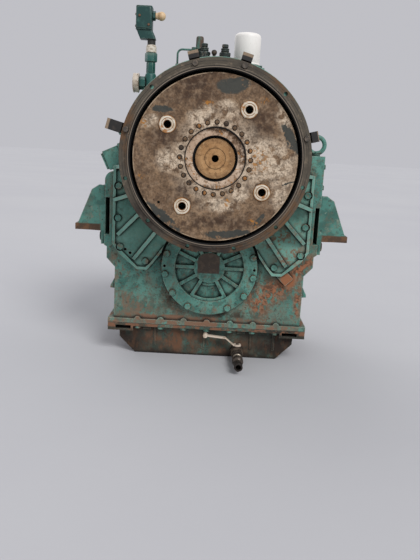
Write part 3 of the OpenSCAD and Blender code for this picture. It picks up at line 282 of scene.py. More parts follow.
def within(material, length, low, high, soft):
    """Mask of where a length lies from low to high mm: one slope up over low, times one down over high."""
    slopes = []
    for edge, fade in ((low, soft), (high, -soft)):
        ends = {"Value": length, "From Min": (edge - fade) * MM, "From Max": (edge + fade) * MM}
        slopes.append(add(material.node_tree, "MapRange", ends))
    return both(material, *slopes)


def between(material, axis, low, high, soft=1.0):
    """Mask of the slice from low to high mm along an axis, with edges that fade over soft mm."""
    point = add(material.node_tree, "TexCoord", out="Object")
    place = add(material.node_tree, "SeparateXYZ", {0: point}, axis)
    return within(material, place, low, high, soft)


def weather_and_shade(material, chips, painted_shade, worn="#8a6a52", radius=4.0):
    """What use does to a painted casting, with painted light and shade: the Bevel normal leaves the true one
    near an edge, where paint wears off in chips and a pale teal is partly worn paint and partly a painted
    highlight, and hollows and joints that see little of the sky are darkened with painted shade."""
    tree = material.node_tree
    edge_normal = add(tree, "Bevel", {"Radius": radius * MM}, samples=6)
    face_normal = add(tree, "NewGeometry", out="True Normal")
    along = add(tree, "VectorMath", {0: edge_normal, 1: face_normal}, "Value", operation="DOT_PRODUCT")
    edge = add(tree, "MapRange", {"Value": along, "From Min": 0.985, "From Max": 0.82})
    sky = add(tree, "AmbientOcclusion", {"Distance": 40 * MM}, "AO", samples=8)
    edge = both(material, edge, add(tree, "MapRange", {"Value": sky, "From Min": 0.45, "From Max": 0.65}))
    # Pale teal on open edges: partly worn paint, partly a painted highlight.
    lay_over(material, both(material, edge, mottle(material, 18, 0.34, 0.52, level=chips)), "#9db3a3", 0.5)
    lay_over(material, both(material, edge, mottle(material, 9, 0.5, 0.58, level=chips)), worn, 0.8)
    # Painted shade: hollows that see little of the sky within 40 mm go dark.
    painted_hollow_shade = add(tree, "MapRange", {"Value": sky, "From Min": 0.5, "From Max": 0.12, "To Max": painted_shade})
    lay_over(material, painted_hollow_shade, "#1d1a14", 0.85)
    # Painted shade: a darker line within 14 mm of joints and inside corners.
    painted_crack_shade = add(tree, "AmbientOcclusion", {"Distance": 14 * MM}, "AO", samples=8)
    painted_crack_shade = add(tree, "MapRange", {"Value": painted_crack_shade, "From Min": 0.84, "From Max": 0.6, "To Max": painted_shade})
    lay_over(material, painted_crack_shade, "#0d0b08", 0.9)


def enamel(name, dust=0.6, rust=0.5):
    """Teal machinery enamel on cast iron: faded in clouds, with a brown film that runs down in streaks,
    fine specks of dirt and small spots where rust has come through."""
    material = finish(name, "#4a8276", 0.5)
    clouds(material, "#649b8c", 0.45, 140, 0.42, 0.62, level=0.8)
    clouds(material, "#2f6257", 0.55, 45, 0.5, 0.66, level=0.75)
    clouds(material, "#2f5d53", 0.5, 11, 0.5, 0.6, detail=10.0, level=0.65)
    clouds(material, "#736452", 0.7, 26, 0.48, 0.72, (1, 1, 0.35), 8.0, dust)
    clouds(material, "#77604b", 0.75, 7, 0.53, 0.66, (1, 1, 0.6), 8.0, dust)
    clouds(material, "#5d4f40", 0.75, 3, 0.54, 0.62, detail=4.0, level=dust)
    clouds(material, "#8a5f47", 0.85, 32, 0.58, 0.68, detail=12.0, level=rust)
    clouds(material, "#26241e", 0.8, 7, 0.6, 0.66, detail=10.0, level=0.7)
    clouds(material, "#93ac9c", 0.5, 6, 0.62, 0.68, detail=8.0, level=0.5)
    return material


casing_enamel = enamel("aged enamel on the casing", 0.65)
splashes = mottle(casing_enamel, 15, 0.36, 0.62, (1, 1, 0.5), 9.0, 0.8)
soil = both(casing_enamel, between(casing_enamel, Z, -800, -510, 60), splashes)
lay_over(casing_enamel, soil, "#735f4f", 0.8)
rust_places = [
    (205, -430, 84, 34, 38),
    (165, -470, 30, 52, 14),
    (292, -350, 22, 62, -38),
    (300, -462, 14, 50, 0),
]
# Painted shade: dark olive clouds round the patches of rust.
shade_clouds = mottle(casing_enamel, 20, 0.4, 0.6, detail=11.0, level=0.7)
painted_shade_round_rust = both(casing_enamel, patches(casing_enamel, rust_places, 26, 0.9), shade_clouds)
lay_over(casing_enamel, painted_shade_round_rust, "#3f3a2d", 0.8)
flakes = mottle(casing_enamel, 9, 0.42, 0.52, (1, 1, 0.7), 11.0, 0.95)
flaked = both(casing_enamel, patches(casing_enamel, rust_places, 26, 0.8), flakes)
lay_over(casing_enamel, flaked, "#9b6343", 0.85)
scale = mottle(casing_enamel, 6, 0.47, 0.56, detail=10.0, level=0.9)
lay_over(casing_enamel, both(casing_enamel, flaked, scale), "#49382a", 0.85)
stain_places = [(-255, -495, 85, 42, 0), (-115, -490, 50, 30, -35), (-320, -400, 14, 90, 0)]
streaks = mottle(casing_enamel, 6, 0.44, 0.58, (1, 1, 0.6), 10.0, 0.8)
stained = both(casing_enamel, patches(casing_enamel, stain_places, 30, 0.9), streaks)
lay_over(casing_enamel, stained, "#7d6450", 0.85)
grime_places = [(-128, -478, 34, 60, 32), (70, -520, 90, 16, 8), (150, -380, 16, 60, -10)]
clots = mottle(casing_enamel, 12, 0.32, 0.6, detail=10.0, level=0.85)
grimy = both(casing_enamel, patches(casing_enamel, grime_places, 22, 0.8), clots)
lay_over(casing_enamel, grimy, "#33281c", 0.85)
lug = patches(casing_enamel, [(262, -386, 30, 24, -45)], 5)
lay_over(casing_enamel, both(casing_enamel, lug, between(casing_enamel, Y, 190, 216)), "#94603f", 0.8)
lip_rust = mottle(casing_enamel, 24, 0.47, 0.56, detail=11.0, level=0.9)
casing_lip = both(casing_enamel, between(casing_enamel, Z, -563, -528, 3), lip_rust)
lay_over(casing_enamel, casing_lip, "#83604a", 0.85)
weather_and_shade(casing_enamel, 0.9, 0.85)
grain(casing_enamel, 5, 0.5, rounded=3)
coat(casing_enamel, "main_casing")


# Bell housing
# One grey iron casting: the engine flange in front, a barrel, radial ribs and a plate bolted to the casing.
# The turned front ring is bare iron gone dark and brown with rust, and everything behind it is enamelled.
def ring(material, low, high, soft=1.0, middle_z=0.0):
    """Mask of what lies from low to high mm from an axis along Y at a height: the length of x and z."""
    tree = material.node_tree
    point = add(tree, "TexCoord", out="Object")
    middle = (0, 0, -middle_z * MM)
    flat = add(tree, "VectorMath", {0: point, 1: (1, 0, 1), 2: middle}, operation="MULTIPLY_ADD")
    away = add(tree, "VectorMath", {0: flat}, "Value", operation="LENGTH")
    return within(material, away, low, high, soft)


bell_enamel = enamel("aged enamel on the bell housing", 0.45, 0.5)
clouds(bell_enamel, "#7fb0a0", 0.5, 70, 0.26, 0.56, level=0.65)
foot_places = [
    (262, -300, 66, 30, 40), (230, -250, 60, 40, 40), (150, -330, 30, 30, 0), (-160, -335, 30, 22, 0),
]
foot_scale = mottle(bell_enamel, 9, 0.47, 0.55, detail=12.0, level=0.9)
foot_rust = both(bell_enamel, patches(bell_enamel, foot_places, 14, 0.7), foot_scale)
lay_over(bell_enamel, foot_rust, "#835f48", 0.85)
weather_and_shade(bell_enamel, 0.95, 0.85)
front = between(bell_enamel, Y, -20, 21, 0.8)
lay_over(bell_enamel, front, "#524a3d", 0.65)
lay_over(bell_enamel, both(bell_enamel, front, mottle(bell_enamel, 50, 0.42, 0.62)), "#443c31", 0.65)
worn = mottle(bell_enamel, 7, 0.54, 0.68, detail=8.0, level=0.8)
lay_over(bell_enamel, both(bell_enamel, front, worn), "#796a57", 0.6)
ring_places = [
    (196, -176, 112, 56, 42), (70, -262, 110, 30, 8), (-70, -264, 110, 26, -8), (-250, 80, 22, 110, 8),
    (180, 215, 70, 16, -45),
]
ring_scale = mottle(bell_enamel, 13, 0.36, 0.56, detail=10.0)
ring_rust = both(bell_enamel, front, patches(bell_enamel, ring_places, 20, 0.7), ring_scale)
lay_over(bell_enamel, ring_rust, "#64482d", 0.75)
step = both(bell_enamel, between(bell_enamel, Y, -20, 3, 0.5), mottle(bell_enamel, 30, 0.36, 0.6))
oily = patches(bell_enamel, [(0, -275, 150, 34, 0), (-205, -190, 40, 60, 45)], 20, 0.7)
drips = mottle(bell_enamel, 14, 0.3, 0.52, detail=11.0)
lay_over(bell_enamel, both(bell_enamel, front, oily, drips), "#261b10", 0.65)
lay_over(bell_enamel, both(bell_enamel, step, ring(bell_enamel, 256, 258.2, 0.6)), "#857868", 0.45)
lay_over(bell_enamel, both(bell_enamel, step, ring(bell_enamel, 266, 267.6, 0.4)), "#1b1815", 0.6)
lay_over(bell_enamel, both(bell_enamel, step, ring(bell_enamel, 277.5, 280, 0.6)), "#76583f", 0.6)
# Painted shade: within 252.8 mm of the axis, in the bore of the barrel, everything is near black.
lay_over(bell_enamel, ring(bell_enamel, 0, 252.8, 0.3), "#0c0b0a", 0.85)
# Painted highlight: a pale line on the inner edge of the register.
lay_over(bell_enamel, both(bell_enamel, front, ring(bell_enamel, 248.4, 250.8, 0.3)), "#7b6e5e", 0.55)
grain(bell_enamel, 5, 0.4, rounded=1.6)
coat(bell_enamel, "bell_housing")


# Hexagon bolts of the bell housing
# Forged bolts on plain washers, painted over with the casting, their corners rubbed bare and rusty.
def solids(node, apart, weights=(1, 1, 1)):
    """Lowest and highest corners in mm of a node's separate solids: points nearer than apart to the first
    point that is left, with each axis weighted, are one solid."""
    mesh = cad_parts[node].data
    left = np.empty(3 * len(mesh.vertices), np.float32)
    mesh.vertices.foreach_get("co", left)
    left = left.reshape(-1, 3) / MM
    boxes = []
    while len(left):
        near = np.linalg.norm((left - left[0]) * weights, axis=1) < apart
        boxes.append((left[near].min(0), left[near].max(0)))
        left = left[~near]
    return np.array(boxes)


def hex_bolt(flats, head, washer_r, washer_t, thread_r, length):
    """A bolt on z 0 with its head up. Its top is chamfered by a cone, so the edge of each side drops by
    tan(30) for every mm that it lies outside the top circle."""
    corner = flats / 2 / np.cos(np.pi / 6)
    top_r = 0.47 * flats
    rings = turned([
        (thread_r, -length, 0),
        (thread_r, 0, 0),
        (washer_r, 0, 0),
        (washer_r, washer_t - 0.5, 0),
        (washer_r - 0.5, washer_t, 0),
        (corner, washer_t, 6),
        (corner, head, 6),
        (top_r, head, 0),
        (0.7 * top_r, head - 0.4, 0),
    ])
    top_edge = rings[6]
    top_edge[:, Z] -= (np.hypot(top_edge[:, X], top_edge[:, Y]) - top_r) * np.tan(np.pi / 6)
    return rings


def stood(rings, places, out, spin=37.0):
    """Rings about +Z set at each place in mm with +Z along out, each copy spun a further spin degrees."""
    places = np.reshape(places, (-1, 3))
    angle = np.radians(spin) * np.arange(len(places))[:, None, None]
    x, y, z = np.moveaxis(rings, -1, 0)
    spun_x = x * np.cos(angle) - y * np.sin(angle)
    spun_y = x * np.sin(angle) + y * np.cos(angle)
    spun = np.stack([spun_x, spun_y, z + 0 * angle], -1)
    turn = np.array(Vector((0, 0, 1)).rotation_difference(Vector(out)).to_matrix())
    return spun @ turn.T + places[:, None, None]


def fit(piece, body, slot, *nodes):
    """Sets a finished piece on its CAD body and hides the nodes that it stands for. slot is not used."""
    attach(piece, body)
    if nodes:
        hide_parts(*nodes)


bolt_enamel = enamel("aged enamel on bolts", 0.5, 0.6)
clouds(bolt_enamel, "#8d664c", 0.8, 60, 0.56, 0.62, level=0.7)
weather_and_shade(bolt_enamel, 0.8, 0.7, radius=1.5)
grain(bolt_enamel, 3, 0.15, rounded=1)

FRONT_BOLT = {"flats": 19, "head": 9.1, "washer_r": 11, "washer_t": 1.6, "thread_r": 7, "length": 30}


def front_seats(node, apart, head=0.0):
    """Places in mm of a node's solids along Y: the middle of each, head mm behind its front end."""
    boxes = solids(node, apart, (1, 0, 1))
    seats = boxes.mean(1)
    seats[:, Y] = boxes[:, 0, Y] + head
    return seats


def front_bolts(name, node, apart):
    """Painted bolts in place of a node's, with rust on the slice that holds their washers."""
    seats = front_seats(node, apart, FRONT_BOLT["head"])
    washers = between(bolt_enamel, Y, seats[0, Y] - 1.9, seats[0, Y] + 2, 0.3)
    lay_over(bolt_enamel, both(bolt_enamel, washers, mottle(bolt_enamel, 60, 0.4, 0.48)), "#6f5039", 0.8)
    return build(name, stood(hex_bolt(**FRONT_BOLT), seats, (0, -1, 0)), bolt_enamel)


bell_bolts = front_bolts("bell_bolts", "bell_housing_bolts", 40)
fit(bell_bolts, "casing_group", "green_paint", "bell_housing_bolts")

# Oil sump and its gasket
# A deep welded pan under the casing with a flat flange, held by a row of bolts with a black gasket between.
# Oil, dirt and scrapes have turned its painted sides brown, and its right end almost black.
sump_enamel = enamel("oily enamel on the sump", 0.9, 0.8)
clouds(sump_enamel, "#2b2318", 0.65, 60, 0.22, 0.54, level=0.85)
sump_stains = [(-120, -630, 120, 46, 0), (60, -640, 110, 30, 0), (-255, -610, 60, 50, 0)]
sump_runs = mottle(sump_enamel, 14, 0.38, 0.6, (1, 1, 0.5), 9.0)
oil_stains = both(sump_enamel, patches(sump_enamel, sump_stains, 30, 0.7), sump_runs)
lay_over(sump_enamel, oil_stains, "#694730", 0.7)
blackened = [(262, -632, 92, 70, 0), (-275, -645, 60, 56, 0), (0, -680, 330, 18, 0)]
soot_cloud = mottle(sump_enamel, 16, 0.2, 0.5, detail=10.0)
soot = both(sump_enamel, patches(sump_enamel, blackened, 24, 0.7), soot_cloud)
lay_over(sump_enamel, soot, "#24170d", 0.8)
scrapes = mottle(sump_enamel, 12, 0.53, 0.62, (1, 1, 0.5), 11.0, 0.7)
lay_over(sump_enamel, both(sump_enamel, soot, scrapes), "#4c321d", 0.75)
sump_lip_rust = mottle(sump_enamel, 22, 0.46, 0.55, detail=11.0)
sump_lip = both(sump_enamel, between(sump_enamel, Z, -577, -555, 2), sump_lip_rust)
lay_over(sump_enamel, sump_lip, "#7d5740", 0.85)
weather_and_shade(sump_enamel, 0.25, 0.9)
grain(sump_enamel, 7, 0.4, rounded=3)
coat(sump_enamel, "oil_sump")

gasket_fibre = finish("oil-soaked gasket fibre", "#1d1a18", 0.8)
clouds(gasket_fibre, "#332d28", 0.7, 12, 0.45, 0.65)
grain(gasket_fibre, 3, 0.15)
coat(gasket_fibre, "sump_gasket")

SUMP_BOLT = {"flats": 19, "head": 8, "washer_r": 11.5, "washer_t": 2, "thread_r": 6, "length": 20}
sump_boxes = solids("sump_bolts", 40, (1, 1, 0))
sump_seats = sump_boxes.mean(1)
sump_seats[:, Z] = sump_boxes[:, 0, Z] + SUMP_BOLT["head"]
sump_bolts = build("sump_flange_bolts", stood(hex_bolt(**SUMP_BOLT), sump_seats, (0, 0, -1)), bolt_enamel)
fit(sump_bolts, "casing_group", "green_paint", "sump_bolts")

# Front output cover
# A round iron cover over the front end of the output shaft, with a thick bolted rim, a web and radial ribs.
# The middle of its hub is bare and brown, where grease kept the paint off.
cover_enamel = enamel("aged enamel on the front cover", 0.5, 0.45)
COVER_R = 158
output_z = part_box("front_output_cover")[0].z / MM + COVER_R
weather_and_shade(cover_enamel, 0.85, 0.85)
bare = both(cover_enamel, between(cover_enamel, X, -39, 33, 1.5),
            between(cover_enamel, Z, output_z - 19, output_z + 60, 2),
            ring(cover_enamel, 0, 50, 1, output_z))
lay_over(cover_enamel, bare, "#4b3f36", 0.7)
grease = mottle(cover_enamel, 9, 0.48, 0.62, detail=9.0)
lay_over(cover_enamel, both(cover_enamel, bare, grease), "#5c4d41", 0.75)
grain(cover_enamel, 5, 0.4, rounded=3)
coat(cover_enamel, "front_output_cover")

cover_bolts = front_bolts("cover_bolts", "front_cover_bolts", 35)
fit(cover_bolts, "casing_group", "green_paint", "front_cover_bolts")

# Mounting brackets
# Two welded steel angle brackets with triangular gussets, bolted to the casing sides to carry the gearbox.
# Their plates are enamelled, and the machined feet are bare, brown with rust.
bracket_enamel = enamel("aged enamel on the brackets", 0.3, 0.3)
scuffs = patches(bracket_enamel, [(400, -205, 34, 16, 30), (-400, -200, 30, 26, 0)], 16, 0.6)
rubs = mottle(bracket_enamel, 6, 0.5, 0.64, detail=9.0, level=0.6)
lay_over(bracket_enamel, both(bracket_enamel, scuffs, rubs), "#8f8a78", 0.7)
weather_and_shade(bracket_enamel, 0.9, 0.75)
inner = between(bracket_enamel, X, -368, 368, 3)
outside = add(bracket_enamel.node_tree, "Math", {0: 1.0, 1: inner}, operation="SUBTRACT")
feet = both(bracket_enamel, between(bracket_enamel, Z, -280, -234, 2), outside)
lay_over(bracket_enamel, feet, "#4f3b2a", 0.75)
feet_rust = mottle(bracket_enamel, 11, 0.46, 0.6, detail=9.0)
lay_over(bracket_enamel, both(bracket_enamel, feet, feet_rust), "#6b4c33", 0.8)
grain(bracket_enamel, 5, 0.3, rounded=2.5)
coat(bracket_enamel, "left_mounting_bracket", "right_mounting_bracket")

BRACKET_BOLT = {"flats": 29, "head": 12.5, "washer_r": 18, "washer_t": 3, "thread_r": 10, "length": 30}
bracket_boxes = solids("bracket_bolts", 90)
right = bracket_boxes[:, 0, X] > 0
for side, name, chosen in ((1, "right_bracket_bolts", right), (-1, "left_bracket_bolts", ~right)):
    side_seats = bracket_boxes[chosen].mean(1)
    outer_ends = bracket_boxes[chosen][:, 1 if side > 0 else 0, X]
    side_seats[:, X] = outer_ends - side * BRACKET_BOLT["head"]
    bolts = build(name, stood(hex_bolt(**BRACKET_BOLT), side_seats, (side, 0, 0)), bolt_enamel)
    fit(bolts, "casing_group", "green_paint", "bracket_bolts")


# Drive plate
# A thick steel disc, flame cut and turned, which the engine drives through four bushes.
# Its face is brown with old rust, rubbed pale round the hub, with patches of dark grey paint left on it.
def painted_joint_shade(material, reach, dark):
    """Painted shade where a piece meets another: dark by the share of a small sphere, reach mm wide, that is
    shut off.
    """
    tree = material.node_tree
    sky = add(tree, "AmbientOcclusion", {"Distance": reach * MM}, "AO", samples=8)
    joint_shade = add(tree, "MapRange", {"Value": sky, "From Min": 0.8, "From Max": 0.45, "To Max": dark})
    lay_over(material, joint_shade, "#15110e", 0.9)


plate_steel = finish("rusted drive plate steel", "#7b6148", 0.85)
clouds(plate_steel, "#93775a", 0.85, 60, 0.4, 0.6)
clouds(plate_steel, "#5c4632", 0.85, 8, 0.46, 0.62, detail=10.0, level=0.8)
brown = [
    (110, 101, 43, 47, 3), (107, -66, 26, 26, 3), (-74, -99, 52, 39, -17), (-152, 56, 31, 35, 3),
    (132, 52, 23, 19, 3), (12, -184, 93, 19, 3), (-66, 197, 78, 43, 28),
]
old_rust = both(plate_steel, patches(plate_steel, brown, 20, 0.8), mottle(plate_steel, 12, 0.26, 0.54))
lay_over(plate_steel, old_rust, "#452f1e", 0.85)
pale = [
    (-41, 97, 44, 42, 43), (30, 138, 34, 22, -17), (-118, -4, 44, 33, 3), (150, 0, 84, 66, 3),
    (200, 130, 36, 34, -37), (25, -129, 47, 20, 3), (73, -84, 33, 25, -37), (-193, 97, 20, 16, 3),
    (205, -90, 34, 52, -17), (6, 8, 112, 106, 0),
]
rubbing = mottle(plate_steel, 14, 0.38, 0.5, detail=14.0, level=0.95)
rubbed = both(plate_steel, patches(plate_steel, pale, 26, 0.4), rubbing)
lay_over(plate_steel, rubbed, "#e0ccb2", 0.75)
pits = mottle(plate_steel, 8, 0.53, 0.59, detail=14.0, level=0.8)
lay_over(plate_steel, both(plate_steel, rubbed, pits), "#776049", 0.8)
clouds(plate_steel, "#46362a", 0.85, 6, 0.5, 0.62, detail=12.0, level=0.5)
clouds(plate_steel, "#3b2d20", 0.85, 2.6, 0.4, 0.66, detail=5.0, level=0.55)
clouds(plate_steel, "#b0967a", 0.8, 7, 0.44, 0.7, detail=12.0, level=0.4)
rim = both(plate_steel, ring(plate_steel, 234.3, 240, 0.5), mottle(plate_steel, 26, 0.42, 0.58))
lay_over(plate_steel, rim, "#b39c80", 0.7)
grey = [
    (42, 204, 45, 24, 11), (213, 67, 47, 14, -61), (-154, 129, 28, 11, -5), (-139, -176, 68, 11, -39),
    (49, -216, 68, 12, 6), (134, -170, 22, 7, 53), (217, -56, 20, 3, 13),
]
paint_edge = mottle(plate_steel, 9, 0.38, 0.42, detail=12.0)
painted = both(plate_steel, patches(plate_steel, grey, 12, 0.12), paint_edge)
lay_over(plate_steel, painted, "#3d3d36", 0.65)
paint_cloud = mottle(plate_steel, 14, 0.46, 0.6, level=0.8)
lay_over(plate_steel, both(plate_steel, painted, paint_cloud), "#31332d", 0.6)
orange = [
    (123, 5, 22, 26, 3), (-25, 148, 9, 7, 3), (36, -117, 9, 18, 23), (117, -174, 7, 18, 23),
    (-206, 88, 12, 12, 3), (-208, -56, 9, 9, 3), (126, 164, 16, 8, 3), (-35, 43, 23, 12, 23),
]
fresh_rust = mottle(plate_steel, 4, 0.5, 0.58, detail=10.0, level=0.9)
rusty = both(plate_steel, patches(plate_steel, orange, 14, 0.9), fresh_rust)
lay_over(plate_steel, rusty, "#b0762f", 0.85)
clouds(plate_steel, "#9d6a3c", 0.85, 5, 0.66, 0.73, detail=10.0, level=0.7)
clouds(plate_steel, "#231b15", 0.85, 5, 0.67, 0.72, detail=10.0, level=0.9)
# Painted shadow: a black ring round the bore for the hub, wider at the top right where the shadow falls.
lay_over(plate_steel, ring(plate_steel, 80, 88.8, 0.4), "#120f0c", 0.9)
hub_shade = patches(plate_steel, [(50, 60, 90, 70, 0)], 10, 0.4)
shaded = both(plate_steel, ring(plate_steel, 80, 90.6, 0.5), hub_shade)
lay_over(plate_steel, shaded, "#0e0b08", 0.9)
painted_joint_shade(plate_steel, 7, 0.9)
grain(plate_steel, 4, 0.3, rounded=1.2)
coat(plate_steel, "drive_plate")

# Coupling hub
# A forged and turned hub behind the plate, keyed to the input shaft.
# The rim that shows in the middle of the plate is pale where it is rubbed, and brown at the top right
# with grease and painted shadow.
hub_steel = finish("rubbed hub steel", "#b89c82", 0.65)
clouds(hub_steel, "#d3bba2", 0.6, 24, 0.42, 0.6, detail=8.0)
clouds(hub_steel, "#7a6045", 0.75, 7, 0.5, 0.62, detail=12.0, level=0.85)
# Dark brown patches, most at the top right: partly grease stains, partly painted shadow from the edge of the
# plate.
hub_stain_and_shadow_places = [(52, 62, 40, 16, -42), (78, 14, 14, 50, 8), (-20, -82, 34, 7, 10), (4, 82, 58, 9, 0)]
stain_and_shadow_edge = mottle(hub_steel, 5, 0.36, 0.54, detail=12.0, level=0.9)
hub_stains_and_shadow = both(hub_steel, patches(hub_steel, hub_stain_and_shadow_places, 6, 0.6), stain_and_shadow_edge)
lay_over(hub_steel, hub_stains_and_shadow, "#4a3119", 0.85)
# Painted shade: near black beyond 86 mm, where the hub goes behind the plate.
lay_over(hub_steel, ring(hub_steel, 86, 100, 0.4), "#0f0b08", 0.9)
clouds(hub_steel, "#a87238", 0.8, 5, 0.57, 0.64, detail=10.0, level=0.9)
clouds(hub_steel, "#3a2817", 0.85, 4, 0.6, 0.66, detail=10.0, level=0.9)
# Painted shade: near black within 65.6 mm, in the recess round the end of the shaft.
lay_over(hub_steel, ring(hub_steel, 50, 65.6, 0.4), "#0a0807", 0.9)
painted_joint_shade(hub_steel, 6, 1.0)
grain(hub_steel, 3, 0.15, rounded=1.2)
coat(hub_steel, "coupling_hub")

# Rivets of the drive plate
# Steel rivets in a ring that hold the plate to the hub, with low domed heads set by a press.
# Each has rusted by itself, some orange and some nearly black.
rivet_steel = finish("rusty rivet steel", "#5f4830", 0.75)
clouds(rivet_steel, "#94622f", 0.8, 26, 0.5, 0.56, detail=2.0)
clouds(rivet_steel, "#3b2d20", 0.8, 19, 0.54, 0.58, detail=2.0)
clouds(rivet_steel, "#8d7558", 0.8, 3, 0.5, 0.66, detail=6.0, level=0.6)
lay_over(rivet_steel, between(rivet_steel, Y, 4.6, 60, 0.3), "#17120e", 0.9)
grain(rivet_steel, 2, 0.15)

RIVET_HEAD = 3
rivet = turned([
    (5, -26, 0), (5, 0, 0), (7.6, 0, 0), (7.6, 0.2, 0), (5.6, 0.3, 0), (5.6, 1.2, 0), (5.1, 2.1, 0),
    (4, 2.7, 0), (1, RIVET_HEAD, 0),
], 24)
rivet_seats = front_seats("drive_plate_rivets", 16, RIVET_HEAD)
rivets = build("plate_rivets", stood(rivet, rivet_seats, (0, -1, 0)), rivet_steel)
fit(rivets, "input_group", "drive_plate_steel", "drive_plate_rivets")

# Drive bushes
# Four zinc-plated steel sleeves pressed into the plate, which take the engine's drive pins.
# A groove parts the raised inner lip from the flat rim, and rust has crept in from the plate.
bush_zinc = finish("zinc-plated steel", "#d9cfbc", 0.55)
clouds(bush_zinc, "#b9a88e", 0.6, 10, 0.46, 0.62, detail=8.0)
bush_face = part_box("drive_plate_bushes")[0].y / MM
sloping = between(bush_zinc, Y, bush_face + 0.45, bush_face + 20, 0.25)
lay_over(bush_zinc, both(bush_zinc, sloping, mottle(bush_zinc, 9, 0.34, 0.5, detail=9.0)), "#94622f", 0.8)
clouds(bush_zinc, "#ab7238", 0.8, 14, 0.55, 0.61, detail=11.0, level=0.9)
# Painted shade: inside the bore, from 9 mm along Y, everything is near black.
lay_over(bush_zinc, between(bush_zinc, Y, 9, 60), "#0f0d0b", 0.8)
painted_joint_shade(bush_zinc, 4, 0.9)
grain(bush_zinc, 3, 0.1)

bush = turned([
    (11, -24, 0), (25, -24, 0), (25, -1.8, 0), (22, 0, 0), (18.4, 0, 0), (17.8, -0.5, 0),
    (17.2, -0.9, 0), (16.4, -0.9, 0), (15.8, -0.3, 0), (14.4, 0, 0), (12.6, 0, 0), (11, -1.6, 0),
])
bush_seats = front_seats("drive_plate_bushes", 60)
bushes = build("plate_bushes", stood(bush, bush_seats, (0, -1, 0)), bush_zinc, loop=True)
fit(bushes, "input_group", "bush_zinc", "drive_plate_bushes")

# End of the input shaft
# A turned disc that holds the hub on the shaft, with a centre hole, stained tan with a film of old oil.
# The lathe tool left fine circles and one deeper groove round the middle, and the hole is painted black as
# shade.
shaft_tan = finish("oil-stained turned steel", "#a57a4b", 0.5)
clouds(shaft_tan, "#b98f5f", 0.45, 30, 0.42, 0.6)
clouds(shaft_tan, "#7e5931", 0.55, 6, 0.48, 0.64, detail=10.0, level=0.85)
darkened = both(shaft_tan, ring(shaft_tan, 46, 60, 6), mottle(shaft_tan, 20, 0.3, 0.6, level=0.7))
lay_over(shaft_tan, darkened, "#765430", 0.6)
clouds(shaft_tan, "#c8a878", 0.5, 4, 0.58, 0.68, detail=9.0, level=0.6)
# Painted shade: the centre hole, in the disc and in the turned steel, is near black.
lay_over(shaft_tan, ring(shaft_tan, 0, 10.3, 0.3), "#0c0a08", 0.8)
lay_over(machined_steel, ring(machined_steel, 0, 10.3, 0.3), "#0c0a08", 0.9)
painted_joint_shade(shaft_tan, 5, 1.0)
grain(shaft_tan, 2, 0.08)

low, high = np.array(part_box("shaft_end_cap")) / MM
disc = turned([
    (10, -8, 0), (58, -8, 0), (58, -1.2, 0), (56.8, 0, 0), (44, 0, 0), (43.6, -0.3, 0), (43.2, 0, 0),
    (31.2, 0, 0), (30.6, -1.2, 0), (29.4, -1.2, 0), (28.8, 0, 0), (20.4, 0, 0), (20, -0.3, 0),
    (19.6, 0, 0), (11.5, 0, 0), (10, -1.2, 0),
], 96)
shaft_cap = build("shaft_end_disc", stood(disc, (0, low[Y], 0), (0, -1, 0)), shaft_tan, loop=True)
fit(shaft_cap, "input_group", "bronze_cap", "shaft_end_cap")

# Flange clips and their bolts
# Four angle clips on the engine flange, each on a bolt in a flange hole.
# They are black, with dusty bare ends.
clip_black = finish("black oxide steel", "#1d1b19", 0.6)
clouds(clip_black, "#37302a", 0.7, 9, 0.5, 0.64, detail=8.0)
bare_ends = [
    (292, (Z, 200, 400)),
    (316, (X, -400, -150)),
    (298, (X, 150, 400)),
]
for start, (axis, first, last) in bare_ends:
    end = both(clip_black, ring(clip_black, start, 400), between(clip_black, axis, first, last))
    lay_over(clip_black, both(clip_black, end, mottle(clip_black, 12, 0.3, 0.5)), "#8f7b65", 0.7)
painted_joint_shade(clip_black, 6, 0.9)
grain(clip_black, 3, 0.15, rounded=1.2)
coat(clip_black, "flange_clips")

clip_iron = finish("oily dark bolt steel", "#4a443d", 0.5, 0.3)
clouds(clip_iron, "#6b5f52", 0.55, 6, 0.48, 0.62, detail=8.0)
painted_joint_shade(clip_iron, 5, 1.0)
grain(clip_iron, 2, 0.1)
CLIP_BOLT = {"flats": 14.7, "head": 9.5, "washer_r": 8.5, "washer_t": 2.5, "thread_r": 5.6, "length": 34}
clip_seats = front_seats("clip_bolts", 60, CLIP_BOLT["head"])
clip_bolts = build("flange_clip_bolts", stood(hex_bolt(**CLIP_BOLT), clip_seats, (0, -1, 0)), clip_iron)
fit(clip_bolts, "casing_group", "bare_iron", "clip_bolts")

# Control valve block
# A machined iron block on the pad on top of the casing, with oil ways to the clutches, painted with it.
# Oil has darkened the paint round the fittings.
valve_enamel = enamel("oily enamel on the valve block", 0.5, 0.4)
clouds(valve_enamel, "#1b3f3a", 0.4, 40, 0.34, 0.58, level=0.75)
weather_and_shade(valve_enamel, 0.9, 0.8, radius=2)
grain(valve_enamel, 4, 0.25, rounded=1.5)
coat(valve_enamel, "control_valve_block", "filter_head", "pilot_pipe")

# Hose unions and bleed plug
# Two capped steel hose unions with hexagons and grooved collars, and a round-headed plug between them.
# They are dark with oil and old paint, and the plug is brown.
union_steel = finish("oily painted steel", "#2c3633", 0.5, 0.1)
clouds(union_steel, "#1c2321", 0.45, 8, 0.46, 0.6, detail=8.0)
clouds(union_steel, "#5f574a", 0.6, 6, 0.58, 0.66, detail=8.0)
weather_and_shade(union_steel, 0.9, 0.9, "#7a6a58", 1.2)
grain(union_steel, 3, 0.1)

